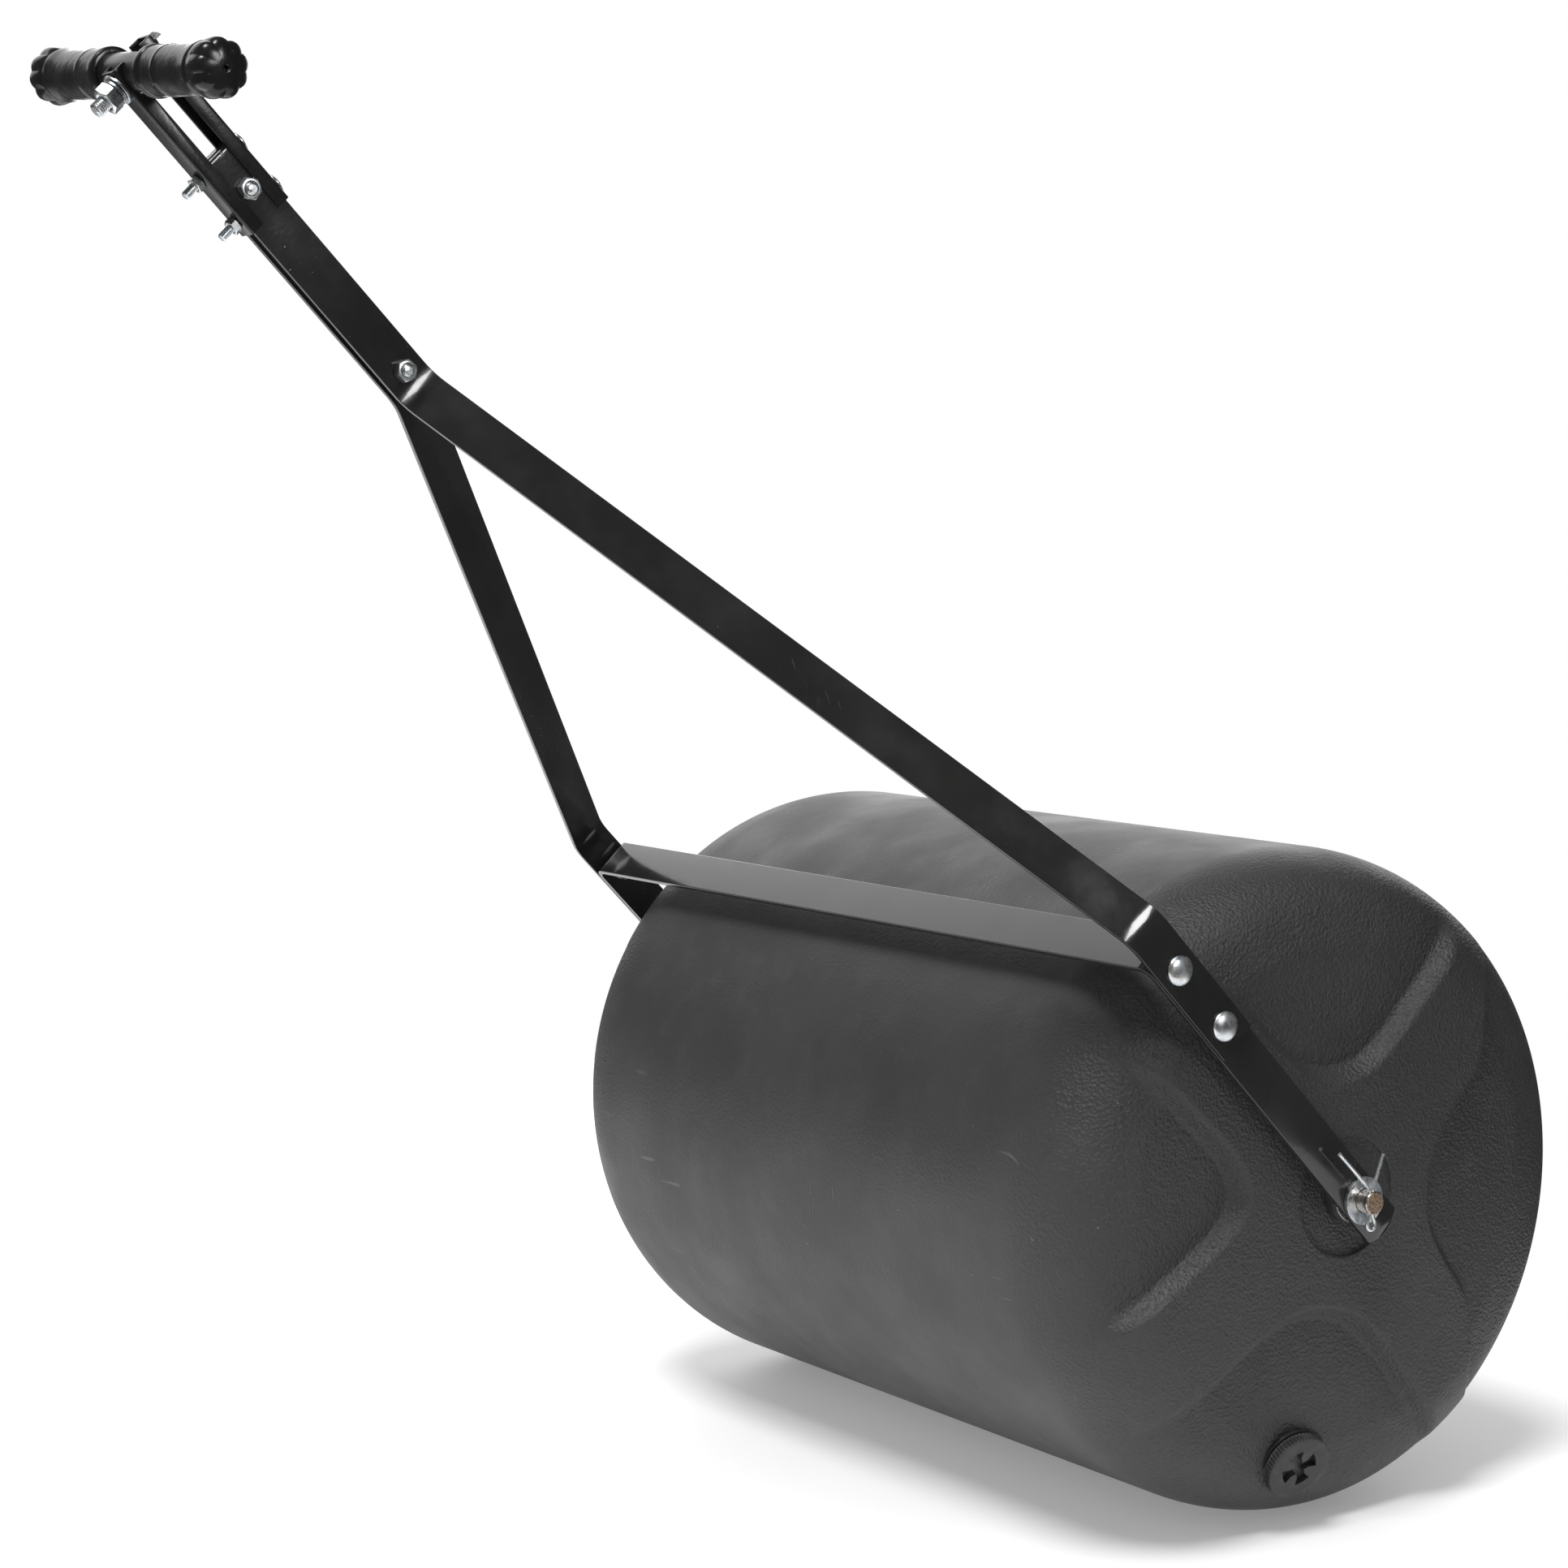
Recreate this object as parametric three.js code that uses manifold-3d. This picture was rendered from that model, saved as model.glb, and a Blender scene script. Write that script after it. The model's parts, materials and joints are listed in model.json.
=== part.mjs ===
// Push and tow lawn roller: a hollow, water-filled drum on an axle, held by a
// U-shaped yoke and two long arms that meet in a T-shaped handle.
// Millimetres, +Z up. X runs along the axle, the handle leans towards -Y, and
// the origin is on the ground, straight below the middle of the axle.

import * as THREE from 'three';
import { mergeVertices } from 'three/addons/utils/BufferGeometryUtils.js';
import Module from 'manifold-3d';

// ---------- driving dimensions ----------

const SLIP = 0.3;                 // gap between pieces that touch
const DRUM_RADIUS = 228.6;        // 18 in drum
const DRUM_HALF_WIDTH = 329;      // to the raised cross on each end
const DRUM_SEGMENTS = 48;
const DRUM_WALL = 5;
const FILLET_AXIAL = 82;          // large rounded rim of the drum, along the axle
const FILLET_RADIAL = 62.6;       // and along the radius
const FILLET_STEPS = 6;
const LOBE_DEPTH = 12;            // four hollows between the arms of the cross
const LOBE_WALL = 9;              // width of the sloping wall around each hollow
const LOBE_FADE_START = 175;      // the hollows run out between these radii
const LOBE_FADE_END = 224;
const CROSS_ARM_ANGLES = [45, 136, 210, 307];
const CROSS_HALF_WIDTH = 35;
const CROSS_ROUNDING = 14;        // softens the corners of the hollows, and widens the arms there
const CROSS_CORE_RADIUS = 62;     // round middle of the cross
const CROSS_TAPER_START = 130;    // beside the widest hollow the arms narrow outwards
const CROSS_TAPER_END = 200;
const HUB_RADIUS = 40.5;          // shallow round recess around the axle
const HUB_DEPTH = 2.5;
const TUNNEL_RADIUS = 17;         // moulded tube through the drum
const BORE_RADIUS = 12.3;

const PORT_RADIUS = 181.1;        // centre of the filler seat, from the axle
const PORT_ANGLE = -102;          // degrees, in the Y-Z plane
const PORT_TILT = 22;             // the filler looks outwards by this much
const PORT_SEAT_X = 313.4;
const PORT_BORE = 16;
const PORT_NECK = 22;
const PORT_NECK_LENGTH = 16;
const PORT_SEAT_RADIUS = 27;
const PLUG_HEAD_RADIUS = 24;
const PLUG_HEAD_HEIGHT = 7.4;
const PLUG_SHANK_RADIUS = 15.6;
const PLUG_SHANK_LENGTH = 15;
const PLUG_RECESS_DEPTH = 4.5;
const PLUG_SLOT_HALF = 3.5;       // half width of a recess slot, and where it flares
const PLUG_FLARE_START = 8;
const PLUG_FLARE_HALF = 5.5;
const PLUG_SLOT_REACH = 12;
const PLUG_SPIN = 25;             // how far round the plug stands when tight
const GASKET_RADIUS = 25.5;
const GASKET_THICKNESS = 1.8;

const AXLE_RADIUS = 8;
const AXLE_HALF_LENGTH = 357;
const BUSHING_FLANGE = 6.5;
const BUSHING_SLEEVE = 30;
const WASHER_RADIUS = 16;
const WASHER_THICKNESS = 3;
const PIN_WIRE_RADIUS = 1.4;
const PIN_HOLE_RADIUS = 3.2;
const PIN_INSET = 5;              // from the axle's end to the split pin

const HANDLE_ANGLE = 47.56;       // handle above the ground, degrees
const BAR_WIDTH = 31;
const YOKE_THICKNESS = 4;
const YOKE_OUTER_X = 343.5;       // outer face of each yoke leg
const YOKE_BRACE_U = 249.6;       // outer face of the cross brace, from the axle
const YOKE_CORNER = 9;            // from each corner to where its bend starts
const YOKE_FOOT_U = -27;          // corners of the legs' rounded lower ends
const YOKE_FOOT_SAG = 5;

const ARM_THICKNESS = 3.5;
const ARM_GAP = 6.6;              // between the two arms along the handle
const ARM_START_U = 161.3;
const ARM_LOWER_BEND_U = 271.6;
const ARM_JUNCTION_U = 744.1;
const ARM_TOP_U = 944.9;
const ARM_BEND = 10;              // from each bend's corner to where it starts
const ARM_LIP_BEND = 2.2;         // the arms' tops turn in towards each other
const ARM_LIP_STRAIGHT = 6;
const ARM_BOLT_U = [177.9, 232.1];
const CROSS_BOLT_U = [760.5, 914.9];

const BRACKET_START_U = 893;
const BRACKET_END_U = 1024.5;
const BRACKET_WALL = 2;
const BRACKET_FLANGE = 10;
const BRACKET_BOLT_U = [903.5, 938];
const HANDLE_BAR_U = 1013;        // the T-bar and its bolt
const HANDLE_BAR_V = -3;
const HANDLE_BAR_RADIUS = 12.5;
const HANDLE_BAR_WALL = 2;
const HANDLE_BAR_HALF = 111;
const HANDLE_BAR_SKEW = 4.7;      // the bar sits slightly askew on its one bolt
const GRIP_START = 27;
const GRIP_RADIUS = 16.2;
const GRIP_LOBES = 9;
const GRIP_LOBE_RISE = 0.045;     // of the flange's radius

// Fasteners: shank radius, width across flats, head and nut heights, and the
// length that stands out beyond the nut.
const ARM_BOLT = { shank: 4, head: 10, headHeight: 4.5, flats: 13, nutHeight: 4.4, beyond: 0 };
const CROSS_BOLT = { shank: 4, flats: 13, headHeight: 5, nutHeight: 6.5, beyond: 2, spacer: 6.5 };
const BRACKET_BOLT = { shank: 3, head: 8, headHeight: 3.5, flats: 10, nutHeight: 5, beyond: 9 };
const BAR_BOLT = { shank: 5, flats: 17, headHeight: 6.4, nutHeight: 8.4, beyond: 8.6 };
const BAR_WASHER = { radius: 10.5, thickness: 2 };
const BAR_LOCK_WASHER = { radius: 9, thickness: 2.2, halfGap: 8 };

const RADIANS = Math.PI / 180;
const AXLE_HEIGHT = DRUM_RADIUS * Math.cos(Math.PI / DRUM_SEGMENTS);

// ---------- materials ----------

function material(color, roughness, metalness) {
  return new THREE.MeshStandardMaterial({ color, roughness, metalness });
}
const looks = {
  polyethylene: () => material(0x3b3b3d, 0.55, 0),
  blackPaint: () => material(0x101012, 0.25, 0.1),
  zinc: () => material(0xc9ced4, 0.28, 1),
  rawSteel: () => material(0x8a7f76, 0.4, 1),
  vinyl: () => material(0x141415, 0.3, 0),
  nylon: () => material(0x202022, 0.5, 0),
  rubber: () => material(0x18181a, 0.7, 0),
};

// ---------- solids ----------

const wasm = await Module();
wasm.setup();

function solid(geometry) {
  const bare = geometry.clone();
  bare.deleteAttribute('normal');
  bare.deleteAttribute('uv');
  const merged = mergeVertices(bare);
  return new wasm.Manifold(new wasm.Mesh({
    numProp: 3,
    vertProperties: new Float32Array(merged.attributes.position.array),
    triVerts: new Uint32Array(merged.index.array),
  }));
}

function geometryOf(body) {
  const mesh = body.getMesh();
  const geometry = new THREE.BufferGeometry();
  geometry.setAttribute('position', new THREE.BufferAttribute(mesh.vertProperties, 3));
  geometry.setIndex(new THREE.BufferAttribute(mesh.triVerts, 1));
  geometry.computeVertexNormals();
  return geometry;
}

function cut(geometry, ...tools) {
  let body = solid(geometry);
  for (const tool of tools) body = body.subtract(solid(tool));
  return geometryOf(body);
}

// Every turned or extruded piece is made along +X, starting at x = 0.
function alongX(geometry) {
  return geometry.rotateZ(-Math.PI / 2);
}

function rod(radius, length, segments = 24) {
  return alongX(new THREE.CylinderGeometry(radius, radius, length, segments)).translate(length / 2, 0, 0);
}

function turned(profile, segments = 24) {
  const points = profile.map(([radius, x]) => new THREE.Vector2(radius, x));
  return alongX(new THREE.LatheGeometry(points, segments));
}

function extrudedAlongX(shape, length, curveSegments = 12) {
  const geometry = new THREE.ExtrudeGeometry(shape, { depth: length, bevelEnabled: false, curveSegments });
  return geometry.rotateY(Math.PI / 2);
}

function ring(outer, inner, length, curveSegments = 10) {
  const shape = new THREE.Shape().absarc(0, 0, outer, 0, 2 * Math.PI);
  shape.holes.push(new THREE.Path().absarc(0, 0, inner, 0, 2 * Math.PI, true));
  return extrudedAlongX(shape, length, curveSegments);
}

function hexagon(acrossFlats) {
  const corner = acrossFlats / Math.sqrt(3);
  const shape = new THREE.Shape();
  for (let side = 0; side < 6; side += 1) {
    const angle = side * 60 * RADIANS;
    const draw = side === 0 ? 'moveTo' : 'lineTo';
    shape[draw](corner * Math.cos(angle), corner * Math.sin(angle));
  }
  return shape.closePath();
}

function nut({ flats, nutHeight, shank }) {
  const shape = hexagon(flats);
  shape.holes.push(new THREE.Path().absarc(0, 0, shank + SLIP, 0, 2 * Math.PI, true));
  return extrudedAlongX(shape, nutHeight, 7);
}

// A long cylinder along X, centred on x = 0, to bore a clearance hole with.
function drill(radius, length, segments = 16) {
  return rod(radius + SLIP, length, segments).translate(-length / 2, 0, 0);
}

// A bolt's end beyond its head: from the shank to a tip with a small chamfer.
function shankProfile(radius, length) {
  const chamfer = 1;
  return [[radius, length - chamfer], [radius - chamfer, length], [0, length]];
}

// The head stands on x = 0 towards -X, and the shank runs along +X.
function domedBolt({ shank, head, headHeight }, length) {
  const dome = [30, 58, 84].map((angle) => [
    head * Math.sin(angle * RADIANS),
    -headHeight * Math.cos(angle * RADIANS),
  ]);
  return turned([[0, -headHeight], ...dome, [head, 0], [shank, 0], ...shankProfile(shank, length)], 16);
}

function hexBolt({ shank, flats, headHeight }, length) {
  const head = extrudedAlongX(hexagon(flats), headHeight).translate(-headHeight, 0, 0);
  const rooted = 1;
  const profile = [[0, -rooted], [shank, -rooted], ...shankProfile(shank, length)];
  return geometryOf(solid(head).add(solid(turned(profile, 20))));
}

// A flat bar bent edge-on: its centre line is drawn in the X-U plane.
function bentBar(points, thickness, bendRadius, width) {
  const route = new THREE.Path();
  route.moveTo(points[0].x, points[0].y);
  for (let i = 1; i < points.length - 1; i += 1) {
    const corner = points[i];
    const before = points[i - 1].clone().sub(corner).setLength(bendRadius).add(corner);
    const after = points[i + 1].clone().sub(corner).setLength(bendRadius).add(corner);
    route.lineTo(before.x, before.y);
    route.quadraticCurveTo(corner.x, corner.y, after.x, after.y);
  }
  const last = points[points.length - 1];
  route.lineTo(last.x, last.y);
  const centre = route.getPoints(4);
  const sides = [1, -1].map((side) => centre.map((point, i) => {
    const next = centre[Math.min(i + 1, centre.length - 1)];
    const previous = centre[Math.max(i - 1, 0)];
    const normal = next.clone().sub(previous).normalize().rotateAround(new THREE.Vector2(), Math.PI / 2);
    return normal.multiplyScalar(side * thickness / 2).add(point);
  }));
  const outline = new THREE.Shape([...sides[0], ...sides[1].reverse()]);
  const geometry = new THREE.ExtrudeGeometry(outline, { depth: width, bevelEnabled: false });
  return geometry.translate(0, 0, -width / 2).rotateX(Math.PI / 2);
}

// ---------- scene graph ----------

const roller = new THREE.Group();
const drumGroup = new THREE.Group();
const frameGroup = new THREE.Group();
const portGroup = new THREE.Group();
drumGroup.position.z = AXLE_HEIGHT;
frameGroup.position.z = AXLE_HEIGHT;
frameGroup.rotation.x = Math.PI / 2 - HANDLE_ANGLE * RADIANS;
roller.add(drumGroup, frameGroup);
drumGroup.add(portGroup);

function add(group, name, geometry, look, x = 0, v = 0, u = 0) {
  const mesh = new THREE.Mesh(geometry, look());
  mesh.name = name;
  mesh.position.set(x, v, u);
  group.add(mesh);
  return mesh;
}

// ---------- drum ----------

function smooth(low, high, value) {
  const t = THREE.MathUtils.clamp((value - low) / (high - low), 0, 1);
  return t * t * (3 - 2 * t);
}

// Distance from the nearest edge of the raised cross, positive in a hollow.
function hollowDistance(y, z) {
  const radius = Math.hypot(y, z);
  const arms = CROSS_ARM_ANGLES.map((degrees) => {
    const [cos, sin] = [Math.cos(degrees * RADIANS), Math.sin(degrees * RADIANS)];
    return { along: y * cos + z * sin, across: z * cos - y * sin };
  });
  const inWidestHollow = arms[0].across < 0 && arms[3].across > 0;
  let sum = Math.exp((CROSS_CORE_RADIUS - radius) / CROSS_ROUNDING);
  for (const { along, across } of arms) {
    const taper = inWidestHollow ? smooth(CROSS_TAPER_START, CROSS_TAPER_END, along) : 0;
    const halfWidth = CROSS_HALF_WIDTH * (1 - taper);
    const offAxis = along > 0 ? Math.abs(across) : radius;
    sum += Math.exp((halfWidth - offAxis) / CROSS_ROUNDING);
  }
  return -CROSS_ROUNDING * Math.log(sum);
}

function hollowDepth(y, z) {
  const fade = 1 - smooth(LOBE_FADE_START, LOBE_FADE_END, Math.hypot(y, z));
  return LOBE_DEPTH * fade * smooth(0, LOBE_WALL, hollowDistance(y, z));
}

// One end of the drum's section, from the hub outwards to the cylinder.
function endProfile(inset, hubDepth, radii, filletSteps) {
  const halfWidth = DRUM_HALF_WIDTH - inset;
  const filletCentre = DRUM_RADIUS - FILLET_RADIAL;
  const profile = radii.map((radius) => [radius, halfWidth - (radius <= HUB_RADIUS ? hubDepth : 0)]);
  for (let step = 0; step <= filletSteps; step += 1) {
    const angle = (step / filletSteps) * Math.PI / 2;
    profile.push([
      filletCentre + (FILLET_RADIAL - inset) * Math.sin(angle),
      halfWidth - (FILLET_AXIAL - inset) * (1 - Math.cos(angle)),
    ]);
  }
  return profile;
}

function drumForm(end) {
  const start = end.map(([radius, x]) => [radius, -x]);
  const closed = [...start, ...[...end].reverse(), start[0]];
  const points = closed.map(([radius, x]) => new THREE.Vector2(radius, x));
  const halfStep = Math.PI / DRUM_SEGMENTS;
  return alongX(new THREE.LatheGeometry(points, DRUM_SEGMENTS, halfStep));
}

function pressHollows(geometry) {
  const position = geometry.attributes.position;
  for (let i = 0; i < position.count; i += 1) {
    const [x, y, z] = [position.getX(i), position.getY(i), position.getZ(i)];
    const onEnd = Math.abs(x) > DRUM_HALF_WIDTH - FILLET_AXIAL;
    const outsideHub = Math.hypot(y, z) > HUB_RADIUS + 1;
    if (onEnd && outsideHub) position.setX(i, x - Math.sign(x) * hollowDepth(y, z));
  }
  return geometry;
}

// The filler's own frame: origin on its seat, +X straight out of it.
const portAngle = PORT_ANGLE * RADIANS;
portGroup.position.set(PORT_SEAT_X, PORT_RADIUS * Math.cos(portAngle), PORT_RADIUS * Math.sin(portAngle));
portGroup.quaternion.setFromUnitVectors(
  new THREE.Vector3(1, 0, 0),
  new THREE.Vector3(
    Math.cos(PORT_TILT * RADIANS),
    Math.sin(PORT_TILT * RADIANS) * Math.cos(portAngle),
    Math.sin(PORT_TILT * RADIANS) * Math.sin(portAngle),
  ),
);
portGroup.updateMatrix();

function atPort(geometry) {
  return geometry.applyMatrix4(portGroup.matrix);
}

function drumShell() {
  const endRadii = [66, 82, 100, 122, 145];
  const outside = pressHollows(drumForm(endProfile(0, HUB_DEPTH,
    [BORE_RADIUS, HUB_RADIUS, HUB_RADIUS + 1, ...endRadii], FILLET_STEPS)));
  const inside = pressHollows(drumForm(endProfile(DRUM_WALL, 0, [TUNNEL_RADIUS, ...endRadii], FILLET_STEPS)));
  const length = PORT_NECK_LENGTH;
  const neck = atPort(rod(PORT_NECK, length).translate(-length, 0, 0));
  const seat = atPort(rod(PORT_SEAT_RADIUS, 2 * length, 32));
  const bore = atPort(rod(PORT_BORE, 3 * length, 28).translate(-2 * length, 0, 0));
  const shell = solid(outside).subtract(solid(inside)).add(solid(neck));
  return geometryOf(shell.subtract(solid(seat)).subtract(solid(bore)));
}

function hubBushing() {
  const sleeveLength = BUSHING_SLEEVE;
  const bore = AXLE_RADIUS + SLIP;
  const sleeve = BORE_RADIUS - SLIP;
  return turned([[bore, -sleeveLength], [sleeve, -sleeveLength], [sleeve, 0], [TUNNEL_RADIUS, 0],
    [TUNNEL_RADIUS, BUSHING_FLANGE], [bore, BUSHING_FLANGE], [bore, -sleeveLength]], 28);
}

// A thumb plug with a cross-shaped tool recess in its face.
function fillPlug() {
  const shankLength = PLUG_SHANK_LENGTH;
  const faceX = GASKET_THICKNESS + 2 * SLIP + PLUG_HEAD_HEIGHT;
  const headX = faceX - PLUG_HEAD_HEIGHT;
  const chamfer = 1;
  const body = turned([[0, -shankLength], [PLUG_SHANK_RADIUS - chamfer, -shankLength],
    [PLUG_SHANK_RADIUS, chamfer - shankLength], [PLUG_SHANK_RADIUS, headX], [PLUG_HEAD_RADIUS, headX],
    [PLUG_HEAD_RADIUS, faceX - chamfer], [PLUG_HEAD_RADIUS - chamfer, faceX], [0, faceX]], 36);
  const slots = [0, 90, 180, 270].map((angle) => {
    const wing = new THREE.Shape();
    wing.moveTo(-PLUG_SLOT_HALF, -1);
    wing.lineTo(PLUG_SLOT_HALF, -1);
    wing.lineTo(PLUG_SLOT_HALF, PLUG_FLARE_START);
    wing.lineTo(PLUG_FLARE_HALF, PLUG_SLOT_REACH);
    wing.lineTo(-PLUG_FLARE_HALF, PLUG_SLOT_REACH);
    wing.lineTo(-PLUG_SLOT_HALF, PLUG_FLARE_START);
    wing.closePath();
    const slot = extrudedAlongX(wing, 2 * PLUG_RECESS_DEPTH).rotateX(angle * RADIANS);
    return slot.translate(faceX - PLUG_RECESS_DEPTH, 0, 0);
  });
  return cut(body, ...slots);
}

function addDrum() {
  add(drumGroup, 'drum_shell', drumShell(), looks.polyethylene);
  const flangeX = DRUM_HALF_WIDTH - HUB_DEPTH + SLIP;
  add(drumGroup, 'hub_bushing_right', hubBushing(), looks.nylon, flangeX);
  add(drumGroup, 'hub_bushing_left', hubBushing(), looks.nylon, -flangeX).rotation.z = Math.PI;
  const gasket = ring(GASKET_RADIUS, PLUG_SHANK_RADIUS + SLIP, GASKET_THICKNESS, 16);
  add(portGroup, 'plug_gasket', gasket, looks.rubber, SLIP);
  add(portGroup, 'fill_plug', fillPlug(), looks.nylon).rotation.x = PLUG_SPIN * RADIANS;
}

// ---------- axle ----------

const washerOuterX = YOKE_OUTER_X + SLIP;
const washerInnerX = DRUM_HALF_WIDTH - HUB_DEPTH + BUSHING_FLANGE + 2 * SLIP;
const pinX = AXLE_HALF_LENGTH - PIN_INSET;

function axleRod() {
  const chamfer = 1;
  const tip = AXLE_RADIUS - chamfer;
  const half = AXLE_HALF_LENGTH;
  const shaft = turned([[0, -half], [tip, -half], [AXLE_RADIUS, chamfer - half],
    [AXLE_RADIUS, half - chamfer], [tip, half], [0, half]], 28);
  const holes = [pinX, -pinX].map((x) => (
    new THREE.CylinderGeometry(PIN_HOLE_RADIUS, PIN_HOLE_RADIUS, 4 * AXLE_RADIUS, 12).rotateX(Math.PI / 2)
      .translate(x, 0, 0)));
  return cut(shaft, ...holes);
}

// One wire: down from a spread tip, round the eye below the axle, and up again.
function cotterPin() {
  const half = PIN_WIRE_RADIUS + 0.15;
  const eye = -AXLE_RADIUS - 6.5;
  const route = [
    [-27, 36], [-12, 20.5], [-3.2, 11], [-half, 6.5], [-half, 0], [-half, -6.5], [-2, -10.5], [-3.3, eye],
    [-2.4, eye - 3.2], [0, eye - 4.2], [2.4, eye - 3.2], [3.3, eye], [2, -10.5], [half, -6.5], [half, 0],
    [half, 6.5], [3, 11], [6.6, 19.5], [11.4, 31],
  ].map(([y, z]) => new THREE.Vector3(0, y, z));
  const path = new THREE.CatmullRomCurve3(route, false, 'centripetal');
  const section = new THREE.Shape().absarc(0, 0, PIN_WIRE_RADIUS, 0, 2 * Math.PI);
  const options = { steps: 36, bevelEnabled: false, extrudePath: path, curveSegments: 3 };
  return new THREE.ExtrudeGeometry(section, options);
}

function addAxle() {
  add(drumGroup, 'axle_rod', axleRod(), looks.rawSteel);
  for (const [side, name] of [[1, 'right'], [-1, 'left']]) {
    const washer = () => ring(WASHER_RADIUS, AXLE_RADIUS + SLIP, WASHER_THICKNESS);
    const outward = side > 0 ? 0 : -WASHER_THICKNESS;
    add(drumGroup, `inner_washer_${name}`, washer(), looks.zinc, side * washerInnerX + outward);
    add(drumGroup, `outer_washer_${name}`, washer(), looks.zinc, side * washerOuterX + outward);
    add(drumGroup, `cotter_pin_${name}`, cotterPin(), looks.zinc, side * pinX);
  }
}

// ---------- yoke and arms ----------

function yoke() {
  const legX = YOKE_OUTER_X - YOKE_THICKNESS / 2;
  const braceU = YOKE_BRACE_U - YOKE_THICKNESS / 2;
  const below = 2 * (YOKE_FOOT_U - YOKE_FOOT_SAG);
  const strip = bentBar([[-legX, below], [-legX, braceU], [legX, braceU], [legX, below]]
    .map(([x, u]) => new THREE.Vector2(x, u)), YOKE_THICKNESS, YOKE_CORNER, BAR_WIDTH);
  const side = BAR_WIDTH / 2 + 1;
  const footRadius = (YOKE_FOOT_SAG ** 2 + (BAR_WIDTH / 2) ** 2) / (2 * YOKE_FOOT_SAG);
  const footAngle = Math.asin(BAR_WIDTH / 2 / footRadius);
  const foot = new THREE.Shape();
  foot.moveTo(side, YOKE_BRACE_U + 1);
  foot.lineTo(-side, YOKE_BRACE_U + 1);
  foot.lineTo(-side, YOKE_FOOT_U);
  foot.absarc(0, YOKE_FOOT_U - YOKE_FOOT_SAG + footRadius, footRadius,
    -Math.PI / 2 - footAngle, -Math.PI / 2 + footAngle, false);
  foot.lineTo(side, YOKE_FOOT_U);
  foot.closePath();
  const span = 2 * YOKE_OUTER_X + 2;
  const profile = new THREE.ExtrudeGeometry(foot, { depth: span, bevelEnabled: false, curveSegments: 10 })
    .translate(0, 0, -span / 2)
    .applyMatrix4(new THREE.Matrix4().set(0, 0, 1, 0, 1, 0, 0, 0, 0, 1, 0, 0, 0, 0, 0, 1));
  const boltHoles = ARM_BOLT_U.map((u) => drill(ARM_BOLT.shank, span).translate(0, 0, u));
  const holes = [drill(AXLE_RADIUS, span, 24), ...boltHoles];
  const shaped = solid(strip).intersect(solid(profile));
  return geometryOf(holes.reduce((body, hole) => body.subtract(solid(hole)), shaped));
}

function longArm(side) {
  const lowerX = YOKE_OUTER_X + SLIP + ARM_THICKNESS / 2;
  const upperX = (ARM_GAP + ARM_THICKNESS) / 2;
  const lipU = ARM_TOP_U - ARM_THICKNESS / 2;
  const corners = [[lowerX, ARM_START_U], [lowerX, ARM_LOWER_BEND_U], [upperX, ARM_JUNCTION_U],
    [upperX, lipU - ARM_LIP_STRAIGHT]];
  const points = corners.map(([x, u]) => new THREE.Vector2(side * x, u));
  const lip = new THREE.Vector2(side * upperX, lipU);
  const lipEnd = new THREE.Vector2(side * SLIP, lipU);
  const lipPart = bentBar([points[3], lip, lipEnd], ARM_THICKNESS, ARM_LIP_BEND, BAR_WIDTH);
  const body = solid(bentBar(points, ARM_THICKNESS, ARM_BEND, BAR_WIDTH)).add(solid(lipPart));
  const span = 2 * lowerX + 20;
  const holes = [
    ...ARM_BOLT_U.map((u) => drill(ARM_BOLT.shank, span).translate(0, 0, u)),
    ...CROSS_BOLT_U.map((u) => drill(CROSS_BOLT.shank, span).translate(0, 0, u)),
  ];
  return geometryOf(holes.reduce((piece, hole) => piece.subtract(solid(hole)), body));
}

function addYokeAndArms() {
  add(frameGroup, 'yoke', yoke(), looks.blackPaint);
  const headX = YOKE_OUTER_X + SLIP + ARM_THICKNESS + SLIP;
  const nutX = YOKE_OUTER_X - YOKE_THICKNESS - SLIP;
  const boltLength = headX - nutX + ARM_BOLT.nutHeight + ARM_BOLT.beyond;
  for (const [side, name] of [[1, 'right'], [-1, 'left']]) {
    add(frameGroup, `long_arm_${name}`, longArm(side), looks.blackPaint);
    ARM_BOLT_U.forEach((u, i) => {
      const place = `${name}_${['lower', 'upper'][i]}`;
      const bolt = domedBolt(ARM_BOLT, boltLength).rotateZ(side > 0 ? Math.PI : 0);
      add(frameGroup, `arm_bolt_${place}`, bolt, looks.zinc, side * headX, 0, u);
      const nutStart = side > 0 ? nutX - ARM_BOLT.nutHeight : -nutX;
      add(frameGroup, `arm_nut_${place}`, nut(ARM_BOLT), looks.zinc, nutStart, 0, u);
    });
  }
}

// Bolts that tie the two arms together along the handle.
function addCrossBolts() {
  const faceX = ARM_GAP / 2 + ARM_THICKNESS + SLIP;
  const spacerHalf = ARM_GAP / 2 - SLIP;
  const boltLength = 2 * faceX + CROSS_BOLT.nutHeight + CROSS_BOLT.beyond;
  CROSS_BOLT_U.forEach((u, i) => {
    const place = ['lower', 'upper'][i];
    const spacer = ring(CROSS_BOLT.spacer, CROSS_BOLT.shank + SLIP, 2 * spacerHalf);
    add(frameGroup, `handle_bolt_${place}`, hexBolt(CROSS_BOLT, boltLength), looks.zinc, -faceX, 0, u);
    add(frameGroup, `handle_nut_${place}`, nut(CROSS_BOLT), looks.zinc, faceX, 0, u);
    add(frameGroup, `handle_spacer_${place}`, spacer, looks.zinc, -spacerHalf, 0, u);
  });
}

// ---------- brackets and T-bar ----------

const webInnerV = BAR_WIDTH / 2 + SLIP;
const webOuterV = webInnerV + BRACKET_WALL;

// Turns a piece made along +X so that it points along +V or -V.
function alongV(geometry, side) {
  return geometry.rotateZ(side * Math.PI / 2);
}

function handleBarFrame(geometry) {
  return geometry.rotateY(HANDLE_BAR_SKEW * RADIANS).translate(0, HANDLE_BAR_V, HANDLE_BAR_U);
}

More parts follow.
